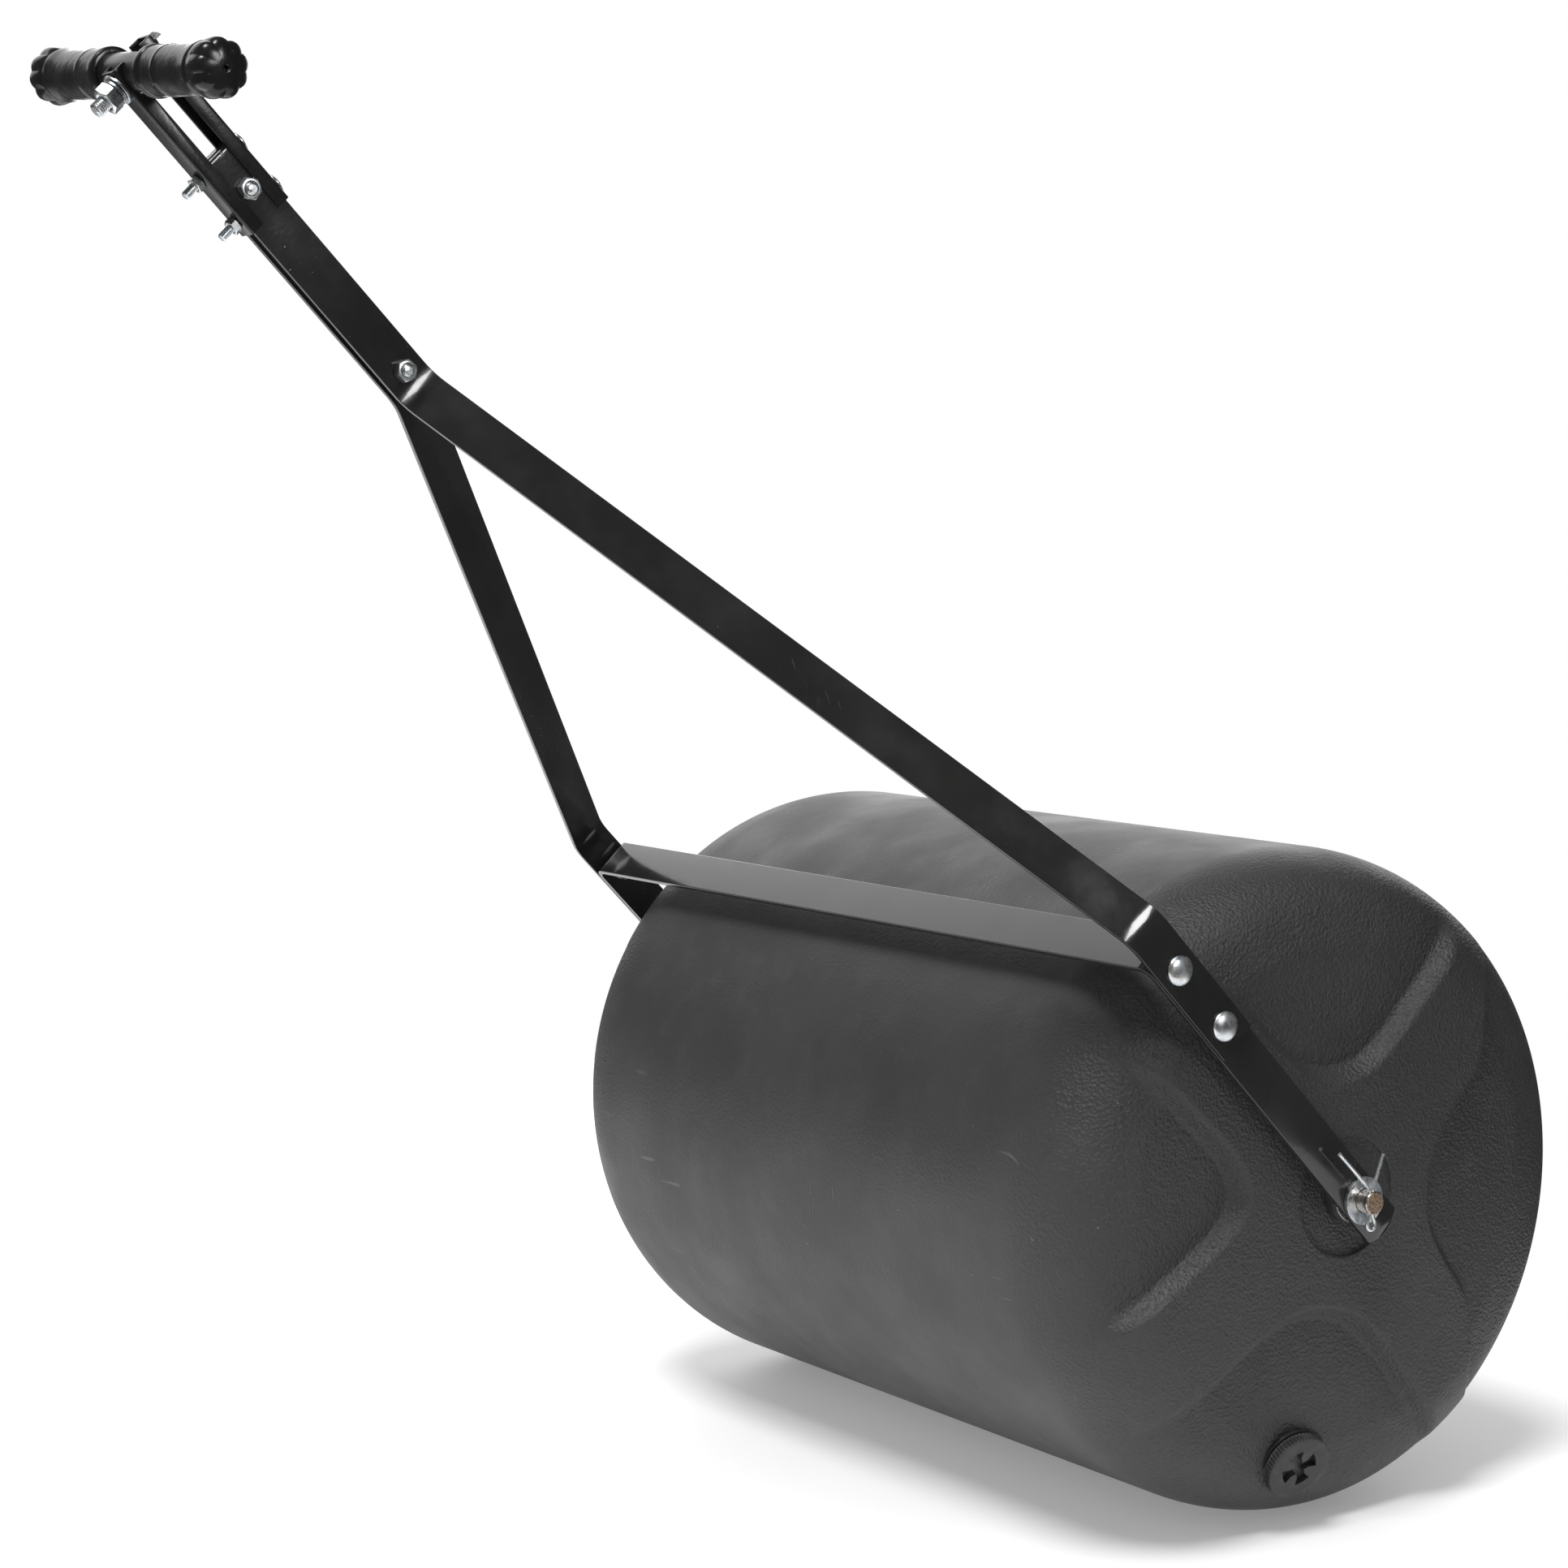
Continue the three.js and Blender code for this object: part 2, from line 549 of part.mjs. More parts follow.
// A channel that straddles the bars with its web outside, on the +V side.
function bracket(side) {
  const inner = ARM_GAP / 2 + ARM_THICKNESS + SLIP;
  const outer = inner + BRACKET_WALL;
  const tip = webOuterV - BRACKET_FLANGE;
  const corners = [[-outer, webOuterV], [-outer, tip], [-inner, tip], [-inner, webInnerV],
    [inner, webInnerV], [inner, tip], [outer, tip], [outer, webOuterV]];
  const section = new THREE.Shape(corners.map(([x, v]) => new THREE.Vector2(x, side * v)));
  const length = BRACKET_END_U - BRACKET_START_U;
  const channel = new THREE.ExtrudeGeometry(section, { depth: length, bevelEnabled: false })
    .translate(0, 0, BRACKET_START_U);
  const through = 80;
  const notch = handleBarFrame(drill(HANDLE_BAR_RADIUS, through, 28));
  const boltHole = alongV(drill(BRACKET_BOLT.shank, through), 1);
  const boltHoles = BRACKET_BOLT_U.map((u) => boltHole.clone().translate(0, 0, u));
  const barHole = alongV(drill(BAR_BOLT.shank, through, 18), 1).translate(0, 0, HANDLE_BAR_U);
  return cut(channel, notch, barHole, ...boltHoles);
}

function addBrackets() {
  add(frameGroup, 'hitch_bracket_upper', bracket(1), looks.blackPaint);
  add(frameGroup, 'hitch_bracket_lower', bracket(-1), looks.blackPaint);
  const faceV = webOuterV + SLIP;
  const boltLength = 2 * faceV + BRACKET_BOLT.nutHeight + BRACKET_BOLT.beyond;
  BRACKET_BOLT_U.forEach((u, i) => {
    const place = ['lower', 'upper'][i];
    const bolt = alongV(domedBolt(BRACKET_BOLT, boltLength), -1);
    add(frameGroup, `bracket_bolt_${place}`, bolt, looks.zinc, 0, faceV, u);
    add(frameGroup, `bracket_nut_${place}`, alongV(nut(BRACKET_BOLT), -1), looks.zinc, 0, -faceV, u);
  });
}

function lockWasher() {
  const gap = BAR_LOCK_WASHER.halfGap * RADIANS;
  const shape = new THREE.Shape().absarc(0, 0, BAR_LOCK_WASHER.radius, gap, 2 * Math.PI - gap, false);
  shape.absarc(0, 0, BAR_BOLT.shank + SLIP, 2 * Math.PI - gap, gap, true);
  return extrudedAlongX(shape.closePath(), BAR_LOCK_WASHER.thickness);
}

function handleBar() {
  const tube = ring(HANDLE_BAR_RADIUS, HANDLE_BAR_RADIUS - HANDLE_BAR_WALL, 2 * HANDLE_BAR_HALF)
    .translate(-HANDLE_BAR_HALF, 0, 0);
  return cut(tube, alongV(drill(BAR_BOLT.shank, 4 * HANDLE_BAR_RADIUS, 18), 1));
}

// A soft grip, open at x = 0, whose closed end swells into a lobed flange.
function grip() {
  const bore = HANDLE_BAR_RADIUS + SLIP;
  const end = HANDLE_BAR_HALF + SLIP - GRIP_START;
  const collar = GRIP_RADIUS + 0.8;
  const flange = GRIP_RADIUS + 2.2;
  const profile = [[bore, 0], [collar, 0], [collar, 6], [GRIP_RADIUS, 8], [GRIP_RADIUS, end - 18],
    [flange, end - 9], [flange, end - 3], [GRIP_RADIUS, end + 1.5], [8, end + 5], [0, end + 6],
    [0, end], [bore, end], [bore, 0]];
  const geometry = turned(profile, 3 * GRIP_LOBES);
  const position = geometry.attributes.position;
  for (let i = 0; i < position.count; i += 1) {
    const [x, y, z] = [position.getX(i), position.getY(i), position.getZ(i)];
    const onFlange = x > end - 10 && Math.hypot(y, z) > bore + 1;
    const scale = onFlange ? 1 + GRIP_LOBE_RISE * Math.cos(GRIP_LOBES * Math.atan2(z, y)) : 1;
    position.setXYZ(i, x, y * scale, z * scale);
  }
  return geometry;
}

function addHandleBar() {
  const faceV = webOuterV + SLIP;
  const lockV = faceV + BAR_WASHER.thickness + SLIP;
  const nutV = lockV + BAR_LOCK_WASHER.thickness + SLIP;
  add(frameGroup, 'handle_bar', handleBarFrame(handleBar()), looks.blackPaint);
  const rightGrip = grip().translate(GRIP_START, 0, 0);
  add(frameGroup, 'grip_right', handleBarFrame(rightGrip.clone()), looks.vinyl);
  add(frameGroup, 'grip_left', handleBarFrame(rightGrip.rotateY(Math.PI)), looks.vinyl);
  const boltLength = faceV + nutV + BAR_BOLT.nutHeight + BAR_BOLT.beyond;
  const bolt = alongV(hexBolt(BAR_BOLT, boltLength), -1);
  add(frameGroup, 'handle_bar_bolt', bolt, looks.zinc, 0, faceV, HANDLE_BAR_U);
  const stack = [
    ['handle_bar_washer', ring(BAR_WASHER.radius, BAR_BOLT.shank + SLIP, BAR_WASHER.thickness), faceV],
    ['handle_bar_lock_washer', lockWasher(), lockV],
    ['handle_bar_nut', nut(BAR_BOLT), nutV],
  ];
  for (const [name, piece, v] of stack) {
    add(frameGroup, name, alongV(piece, -1), looks.zinc, 0, -v, HANDLE_BAR_U);
  }
}

addDrum();
addAxle();
addYokeAndArms();
addCrossBolts();
addBrackets();
addHandleBar();

export default roller;
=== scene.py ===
"""The looks of a push and tow lawn roller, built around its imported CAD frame. Metres throughout."""
import json
import math
from collections import namedtuple

import bmesh
import bpy
import numpy as np
from mathutils import Matrix, Vector


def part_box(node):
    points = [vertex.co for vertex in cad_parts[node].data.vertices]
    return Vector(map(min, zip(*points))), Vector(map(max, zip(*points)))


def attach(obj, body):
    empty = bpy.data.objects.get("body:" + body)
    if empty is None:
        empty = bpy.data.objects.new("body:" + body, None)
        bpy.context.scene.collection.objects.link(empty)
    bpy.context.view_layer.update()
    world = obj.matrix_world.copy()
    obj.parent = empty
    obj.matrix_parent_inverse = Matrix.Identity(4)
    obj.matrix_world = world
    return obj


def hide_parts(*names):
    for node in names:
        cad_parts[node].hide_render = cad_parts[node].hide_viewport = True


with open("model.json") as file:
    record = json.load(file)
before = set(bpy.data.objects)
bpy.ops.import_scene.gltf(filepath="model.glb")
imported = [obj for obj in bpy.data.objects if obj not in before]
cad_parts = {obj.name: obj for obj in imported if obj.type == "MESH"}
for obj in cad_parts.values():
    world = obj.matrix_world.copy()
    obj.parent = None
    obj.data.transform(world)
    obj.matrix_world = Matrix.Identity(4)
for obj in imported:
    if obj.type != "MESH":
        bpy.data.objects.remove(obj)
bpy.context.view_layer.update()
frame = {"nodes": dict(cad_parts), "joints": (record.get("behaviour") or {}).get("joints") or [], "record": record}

MM = 0.001
TAU = 2 * math.pi

# ---------- the handle's own frame: x along the axle, v across the bars, u up the handle ----------

joints = {joint["name"]: joint for joint in frame["joints"]}
mounts = {mount["name"]: mount for mount in frame["record"]["mounts"]}
AXLE = Vector(joints["drum_spin"]["pos_m"])
X_AXIS = Vector((1, 0, 0))
V_AXIS = -Vector(mounts["hitch_web"]["axis"]).normalized()
U_AXIS = X_AXIS.cross(V_AXIS)


def frame_matrix(x_axis, y_axis, z_axis, origin):
    rotation = Matrix((x_axis, y_axis, z_axis)).transposed()
    return Matrix.Translation(origin) @ rotation.to_4x4()


HANDLE = frame_matrix(X_AXIS, V_AXIS, U_AXIS, AXLE)


def extent(node, axis):
    """Lowest and highest place of a CAD node along an axis, measured from the axle."""
    places = [(vertex.co - AXLE).dot(axis) for vertex in frame["nodes"][node].data.vertices]
    return min(places), max(places)


def middle(node, axis):
    return sum(extent(node, axis)) / 2


# ---------- mesh making ----------

def skin(rows, wrap=True, loop_rows=False, caps=True):
    """Quads over a list of equal rows of points; caps close the first and last row."""
    rows = np.asarray(rows, float)
    count, width, _ = rows.shape
    faces = []
    for i in range(count if loop_rows else count - 1):
        a, b = i * width, ((i + 1) % count) * width
        for j in range(width if wrap else width - 1):
            k = (j + 1) % width
            faces.append((a + j, a + k, b + k, b + j))
    if caps and not loop_rows:
        faces.append(tuple(range(width - 1, -1, -1)))
        faces.append(tuple((count - 1) * width + j for j in range(width)))
    return rows.reshape(-1, 3), faces


def turned(profile, segments=48, closed=False, radius_at=None):
    """Turns (x, radius) points about the x axis. radius_at(x, r, angles) may shape each ring."""
    angles = np.arange(segments) * TAU / segments
    rows = []
    for x, radius in profile:
        ring = np.full(segments, radius, float)
        place = np.full(segments, x, float)
        if radius_at:
            place, ring = radius_at(place, ring, angles)
        rows.append(np.stack([place, ring * np.cos(angles), ring * np.sin(angles)], 1))
    return skin(rows, loop_rows=closed, caps=not closed)


def rounded(points, radius, steps=4, closed=False):
    """A polyline whose corners are rounded with short arcs; ends stay where they are."""
    points = [np.array(point, float) for point in points]
    count = len(points)
    result = []
    for i, corner in enumerate(points):
        if not closed and i in (0, count - 1):
            result.append(corner)
            continue
        before, after = points[i - 1] - corner, points[(i + 1) % count] - corner
        reach = min(radius, np.linalg.norm(before) * 0.49, np.linalg.norm(after) * 0.49)
        start = corner + before / max(np.linalg.norm(before), 1e-9) * reach
        end = corner + after / max(np.linalg.norm(after), 1e-9) * reach
        for t in np.linspace(0, 1, steps + 1):
            result.append((1 - t) ** 2 * start + 2 * t * (1 - t) * corner + t * t * end)
    return result


def tube(path, radius, sides=14):
    """A round wire along a path of points, with flat ends."""
    path = np.asarray(path, float)
    tangents = np.gradient(path, axis=0)
    tangents /= np.linalg.norm(tangents, axis=1)[:, None]
    normal = np.array([1.0, 0.0, 0.0])
    angles = np.arange(sides) * TAU / sides
    rows = []
    for point, tangent in zip(path, tangents):
        normal = normal - tangent * normal.dot(tangent)
        normal /= np.linalg.norm(normal)
        other = np.cross(tangent, normal)
        rows.append(point + radius * (np.outer(np.cos(angles), normal) + np.outer(np.sin(angles), other)))
    return skin(rows)


def smooth_path(points, per_span=8):
    """Catmull-Rom curve through the points."""
    points = np.asarray(points, float)
    padded = np.vstack([2 * points[0] - points[1], points, 2 * points[-1] - points[-2]])
    result = []
    for i in range(len(points) - 1):
        p0, p1, p2, p3 = padded[i:i + 4]
        for t in np.arange(per_span) / per_span:
            result.append(0.5 * (2 * p1 + (p2 - p0) * t + (2 * p0 - 5 * p1 + 4 * p2 - p3) * t * t
                                 + (3 * p1 - p0 - 3 * p2 + p3) * t ** 3))
    return np.array(result + [points[-1]])


def joined(*parts):
    """Several (points, faces) shells in one mesh."""
    points, faces, offset = [], [], 0
    for part_points, part_faces in parts:
        points.append(part_points)
        faces.extend(tuple(index + offset for index in face) for face in part_faces)
        offset += len(part_points)
    return np.vstack(points), faces


def piece(name, shape, place, look, body, nodes, smooth_angle=35):
    """Makes the mesh at its place in the row frame, and ties it to its body and CAD nodes."""
    points, faces = shape
    mesh = bpy.data.meshes.new(name)
    mesh.from_pydata([tuple(point) for point in points], [], faces)
    mesh.transform(place)
    bm = bmesh.new()
    bm.from_mesh(mesh)
    bmesh.ops.remove_doubles(bm, verts=bm.verts, dist=1e-7)
    bmesh.ops.dissolve_degenerate(bm, dist=1e-8, edges=bm.edges)
    bmesh.ops.recalc_face_normals(bm, faces=bm.faces)
    bm.to_mesh(mesh)
    bm.free()
    obj = bpy.data.objects.new(name, mesh)
    bpy.context.scene.collection.objects.link(obj)
    finish_piece(obj, look, body, nodes, smooth_angle)
    return obj


def finish_piece(obj, look, body, nodes, smooth_angle=35):
    obj.data.polygons.foreach_set("use_smooth", [True] * len(obj.data.polygons))
    obj.data.set_sharp_from_angle(angle=math.radians(smooth_angle))
    obj.data.materials.clear()
    obj.data.materials.append(look)
    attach(obj, body)
    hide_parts(*nodes)


def carve(obj, cutters):
    """Cuts closed shapes, given in the row frame, out of a piece."""
    for cutter_points, cutter_faces, place in cutters:
        mesh = bpy.data.meshes.new("cutter")
        mesh.from_pydata([tuple(point) for point in cutter_points], [], cutter_faces)
        mesh.transform(place)
        bm = bmesh.new()
        bm.from_mesh(mesh)
        bmesh.ops.remove_doubles(bm, verts=bm.verts, dist=1e-7)
        bmesh.ops.recalc_face_normals(bm, faces=bm.faces)
        bm.to_mesh(mesh)
        bm.free()
        cutter = bpy.data.objects.new("cutter", mesh)
        bpy.context.scene.collection.objects.link(cutter)
        modifier = obj.modifiers.new("cut", "BOOLEAN")
        modifier.object = cutter
        modifier.operation = "DIFFERENCE"
        modifier.solver = "EXACT"
        bake_modifiers(obj)
        bpy.data.objects.remove(cutter)


def bake_modifiers(obj):
    depsgraph = bpy.context.evaluated_depsgraph_get()
    mesh = bpy.data.meshes.new_from_object(obj.evaluated_get(depsgraph))
    obj.modifiers.clear()
    obj.data = mesh


def soften_edges(obj, width, angle=40):
    bevel = obj.modifiers.new("edges", "BEVEL")
    bevel.width = width
    bevel.segments = 2
    bevel.limit_method = "ANGLE"
    bevel.angle_limit = math.radians(angle)
    bake_modifiers(obj)


# ---------- materials ----------

class Look:
    """A Principled material built up from a few procedural layers in object coordinates."""

    def __init__(self, name, **values):
        self.material = bpy.data.materials.new(name)
        self.material.use_nodes = True
        self.nodes = self.material.node_tree.nodes
        self.links = self.material.node_tree.links
        self.shader = self.nodes["Principled BSDF"]
        self.place = self.nodes.new("ShaderNodeTexCoord").outputs["Object"]
        for key, value in values.items():
            self.shader.inputs[key.replace("_", " ")].default_value = value

    def node(self, kind, inputs=None, **settings):
        node = self.nodes.new("ShaderNode" + kind)
        for key, value in settings.items():
            setattr(node, key, value)
        for key, value in (inputs or {}).items():
            if isinstance(value, bpy.types.NodeSocket):
                self.links.new(value, node.inputs[key])
            else:
                node.inputs[key].default_value = value
        return node

    def stretched(self, scale):
        return self.node("Mapping", {"Vector": self.place, "Scale": scale}).outputs["Vector"]

    def noise(self, scale, detail=3.0, roughness=0.5, distortion=0.0, vector=None):
        inputs = {"Vector": vector or self.place, "Scale": scale, "Detail": detail,
                  "Roughness": roughness, "Distortion": distortion}
        return self.node("TexNoise", inputs).outputs["Fac"]

    def cells(self, scale, output="Distance", feature="F1"):
        inputs = {"Vector": self.place, "Scale": scale}
        return self.node("TexVoronoi", inputs, feature=feature).outputs[output]

    def span(self, value, low, high, to_low=0.0, to_high=1.0):
        inputs = {"Value": value, "From Min": low, "From Max": high, "To Min": to_low, "To Max": to_high}
        return self.node("MapRange", inputs, interpolation_type="SMOOTHSTEP").outputs["Result"]

    def math(self, operation, a, b=0.0):
        return self.node("Math", {0: a, 1: b}, operation=operation).outputs[0]

    def blend(self, amount, low, high):
        node = self.node("Mix", data_type="RGBA")
        for socket, value in ((node.inputs[0], amount), (node.inputs[6], low), (node.inputs[7], high)):
            if isinstance(value, bpy.types.NodeSocket):
                self.links.new(value, socket)
            else:
                socket.default_value = value
        return node.outputs[2]

    def bump(self, height, strength, distance, under=None):
        inputs = {"Height": height, "Strength": strength, "Distance": distance}
        if under:
            inputs["Normal"] = under
        return self.node("Bump", inputs).outputs["Normal"]

    def set(self, **sockets):
        for key, value in sockets.items():
            self.links.new(value, self.shader.inputs[key.replace("_", " ")])
        return self.material

    def along(self, axis):
        return self.node("VectorMath", {0: self.place, 1: axis}, operation="DOT_PRODUCT").outputs["Value"]


def grey(value, warmth=0.0):
    return (value * (1 + warmth), value, value * (1 - warmth), 1.0)


def specks(look, scale, size, share):
    """Sparse small dots: a few of the cells of a Voronoi pattern, each with a dot in its middle."""
    lot = look.node("SeparateColor", {0: look.cells(scale, "Color")}).outputs[0]
    chosen = look.span(lot, 1 - share, 1 - share + 0.01)
    dots = look.span(look.cells(scale), size, size * 0.5)
    return look.math("MULTIPLY", chosen, dots)


def scratches(look, stretch, coverage):
    """Fine straight streaks: the peaks of a strongly stretched noise, kept only in patches."""
    streaks = look.span(look.noise(1.0, 1.0, vector=look.stretched(stretch)), 0.72, 0.78)
    return look.math("MULTIPLY", streaks, look.span(look.noise(7.0, 2.0), 0.70 - coverage, 0.74 - coverage))


def moulded_plastic():
    look = Look("moulded_polyethylene", Specular_IOR_Level=0.42)
    broad = look.noise(3.2, 3.0)
    mottling = look.noise(38.0, 4.0, 0.6)
    base = look.blend(look.span(broad, 0.35, 0.65), grey(0.038, -0.01), grey(0.050, -0.005))
    base = look.blend(look.span(mottling, 0.45, 0.75, 0.0, 0.45), base, grey(0.058))
    dust = look.math("MAXIMUM", specks(look, 90.0, 0.07, 0.10), specks(look, 210.0, 0.09, 0.05))
    scuffs = look.math("MAXIMUM", scratches(look, (18, 900, 30), 0.10), scratches(look, (700, 25, 40), 0.08))
    worn = look.math("MAXIMUM", look.math("MULTIPLY", dust, 0.55), look.math("MULTIPLY", scuffs, 0.22))
    base = look.blend(worn, base, grey(0.30))
    on_end = look.span(look.math("ABSOLUTE", look.along(X_AXIS)), 0.235, 0.30)
    grain = look.noise(560.0, 2.0, 0.6)
    pebble = look.cells(480.0, feature="SMOOTH_F1")
    height = look.math("ADD", look.math("MULTIPLY", grain, 0.8), pebble)
    height = look.math("MULTIPLY", height, look.span(on_end, 0.0, 1.0, 0.22, 1.0))
    normal = look.bump(height, 0.9, 0.0010)
    normal = look.bump(look.noise(26.0, 2.0), 0.12, 0.004, normal)
    roughness = look.span(look.noise(14.0, 4.0), 0.3, 0.7, 0.44, 0.56)
    return look.set(Base_Color=base, Normal=normal, Roughness=roughness)


def black_paint():
    look = Look("gloss_black_paint", Specular_IOR_Level=0.5, Coat_Weight=0.35, Coat_Roughness=0.05)
    base = look.blend(look.span(look.noise(11.0, 3.0), 0.4, 0.7), grey(0.0170, 0.02), grey(0.0250, 0.02))
    dust = look.math("MAXIMUM", specks(look, 150.0, 0.08, 0.05), specks(look, 420.0, 0.12, 0.03))
    lengthwise = scratches(look, (40, 900, 60), 0.12)
    crosswise = scratches(look, (300, 60, 1200), 0.06)
    scuffs = look.math("MAXIMUM", lengthwise, crosswise)
    worn = look.math("MAXIMUM", look.math("MULTIPLY", dust, 0.5), look.math("MULTIPLY", scuffs, 0.30))
    base = look.blend(worn, base, grey(0.22))
    # the powder coat is coarse and blistered near the arms' top end
    coarse = look.span(look.along(U_AXIS), PAINT_COARSE_FROM, PAINT_COARSE_TO)
    base = look.blend(look.math("MULTIPLY", coarse, 0.5), base, grey(0.060))
    blisters = look.math("ADD", look.noise(330.0, 2.0), look.math("MULTIPLY", look.cells(240.0), -0.8))
    normal = look.bump(look.noise(210.0, 2.0), 0.05, 0.0006)
    normal = look.bump(look.math("MULTIPLY", blisters, coarse), 0.10, 0.0008, normal)
    bubbles = look.math("MULTIPLY", specks(look, 130.0, 0.16, 0.22), coarse)
    normal = look.bump(bubbles, 0.35, 0.0006, normal)
    roughness = look.span(look.noise(30.0, 4.0), 0.35, 0.7, 0.13, 0.24)
    return look.set(Base_Color=base, Normal=normal, Roughness=roughness)


def bracket_paint():
    look = Look("satin_black_paint", Specular_IOR_Level=0.5, Coat_Weight=0.2, Coat_Roughness=0.15)
    base = look.blend(look.span(look.noise(40.0, 3.0), 0.4, 0.7), grey(0.010), grey(0.018))
    base = look.blend(look.math("MULTIPLY", specks(look, 300.0, 0.12, 0.05), 0.5), base, grey(0.25))
    normal = look.bump(look.noise(420.0, 3.0), 0.16, 0.0005)
    roughness = look.span(look.noise(60.0, 4.0), 0.35, 0.7, 0.26, 0.38)
    return look.set(Base_Color=base, Normal=normal, Roughness=roughness)


def zinc_plate():
    look = Look("bright_zinc_plate", Metallic=1.0)
    tint = look.noise(160.0, 3.0, 0.6, 0.6)
    base = look.blend(look.span(tint, 0.35, 0.65), (0.62, 0.67, 0.72, 1), (0.80, 0.80, 0.78, 1))
    base = look.blend(look.span(look.noise(620.0, 3.0), 0.60, 0.75), base, (0.42, 0.45, 0.48, 1))
    normal = look.bump(look.noise(900.0, 3.0), 0.14, 0.0003)
    roughness = look.span(look.noise(260.0, 4.0), 0.3, 0.7, 0.24, 0.40)
    return look.set(Base_Color=base, Normal=normal, Roughness=roughness)


def raw_steel():
    look = Look("cold_drawn_steel", Metallic=1.0)
    from_middle = look.math("ABSOLUTE", look.along(X_AXIS))
    on_end = look.span(from_middle, AXLE_HALF_LENGTH - 0.6 * MM, AXLE_HALF_LENGTH - 0.3 * MM)
    stain = look.span(look.noise(700.0, 4.0, 0.65), 0.38, 0.62)
    drawn = look.blend(stain, (0.62, 0.60, 0.58, 1), (0.36, 0.31, 0.27, 1))
    sawn = look.blend(stain, (0.46, 0.36, 0.27, 1), (0.16, 0.105, 0.07, 1))
    base = look.blend(on_end, drawn, sawn)
    turning = look.noise(500.0, 2.0, vector=look.stretched((0.05, 1, 1)))
    normal = look.bump(look.math("ADD", turning, look.math("MULTIPLY", stain, on_end)), 0.3, 0.0003)
    roughness = look.span(on_end, 0, 1, 0.28, 0.55)
    return look.set(Base_Color=base, Normal=normal, Roughness=roughness)


def grip_vinyl():
    look = Look("glossy_black_vinyl", Specular_IOR_Level=0.5)
    base = look.blend(look.span(look.noise(45.0, 3.0), 0.4, 0.7), grey(0.010), grey(0.020))
    base = look.blend(look.math("MULTIPLY", specks(look, 260.0, 0.10, 0.06), 0.6), base, grey(0.25))
    normal = look.bump(look.noise(75.0, 2.0, 0.4, 0.8), 0.22, 0.0022)
    normal = look.bump(look.noise(520.0, 2.0), 0.06, 0.0004, normal)
    roughness = look.span(look.noise(60.0, 3.0), 0.35, 0.7, 0.20, 0.32)
    return look.set(Base_Color=base, Normal=normal, Roughness=roughness)


def plug_plastic():
    look = Look("black_nylon", Specular_IOR_Level=0.42)
    base = look.blend(look.span(look.noise(120.0, 3.0), 0.4, 0.7), grey(0.028), grey(0.042))
    base = look.blend(look.math("MULTIPLY", specks(look, 330.0, 0.12, 0.08), 0.5), base, grey(0.30))
    normal = look.bump(look.noise(700.0, 3.0), 0.18, 0.0004)
    roughness = look.span(look.noise(150.0, 3.0), 0.35, 0.7, 0.38, 0.52)
    return look.set(Base_Color=base, Normal=normal, Roughness=roughness)


def gasket_rubber():
    look = Look("black_rubber", Specular_IOR_Level=0.35)
    base = look.blend(look.span(look.noise(200.0, 3.0), 0.4, 0.7), grey(0.008), grey(0.016))
    normal = look.bump(look.noise(800.0, 3.0), 0.2, 0.0003)
    roughness = look.span(look.noise(180.0, 3.0), 0.35, 0.7, 0.5, 0.7)
    return look.set(Base_Color=base, Normal=normal, Roughness=roughness)


# The paint turns coarse between these distances up the handle, counted from the frame's origin.
PAINT_COARSE_FROM = AXLE.dot(U_AXIS) + 0.82
PAINT_COARSE_TO = AXLE.dot(U_AXIS) + 0.91
AXLE_HALF_LENGTH = extent("axle_rod", X_AXIS)[1]

PLASTIC = moulded_plastic()
PAINT = black_paint()
BRACKET_PAINT = bracket_paint()
ZINC = zinc_plate()
STEEL = raw_steel()
VINYL = grip_vinyl()
PLUG = plug_plastic()
RUBBER = gasket_rubber()

# ---------- drum ----------

DRUM_RADIUS = AXLE.z
DRUM_HALF_WIDTH = extent("drum_shell", X_AXIS)[1]
DRUM_SEGMENTS = 420
FILLET_AXIAL = 82 * MM
FILLET_RADIAL = 62.6 * MM
HUB_RADIUS = 40.5 * MM
HUB_DEPTH = 2.5 * MM
BORE_RADIUS = 12.3 * MM
AXLE_RADIUS = 8 * MM
SLIP = 0.3 * MM
LOBE_DEPTH = 12 * MM
LOBE_WALL = 9 * MM
LOBE_FADE = (175 * MM, 224 * MM)
WALL_STRAIGHTNESS = 0.7
CROSS_ARM_ANGLES = (45, 136, 210, 307)
CROSS_HALF_WIDTH = 35 * MM
CROSS_CORE_RADIUS = 62 * MM
CROSS_TAPER = (130 * MM, 200 * MM)
CROSS_ROUNDING = 14 * MM


def ease(low, high, value):
    t = np.clip((value - low) / (high - low), 0, 1)
    return t * t * (3 - 2 * t)


def hollow_depth(y, z):
    """How far the drum's end is pressed in at a point: nothing on the cross, full depth in the hollows."""
    radius = np.hypot(y, z)
    arms = [(y * np.cos(angle) + z * np.sin(angle), z * np.cos(angle) - y * np.sin(angle))
            for angle in np.radians(CROSS_ARM_ANGLES)]
    in_widest_hollow = (arms[0][1] < 0) & (arms[3][1] > 0)
    total = np.exp((CROSS_CORE_RADIUS - radius) / CROSS_ROUNDING)
    for along, across in arms:
        half_width = CROSS_HALF_WIDTH * (1 - in_widest_hollow * ease(*CROSS_TAPER, along))
        off_axis = np.where(along > 0, np.abs(across), radius)
        total = total + np.exp((half_width - off_axis) / CROSS_ROUNDING)
    distance = -CROSS_ROUNDING * np.log(total)
    straight = np.clip(distance / LOBE_WALL, 0, 1)
    wall = WALL_STRAIGHTNESS * straight + (1 - WALL_STRAIGHTNESS) * ease(0, LOBE_WALL, distance)
    return LOBE_DEPTH * (1 - ease(*LOBE_FADE, radius)) * wall


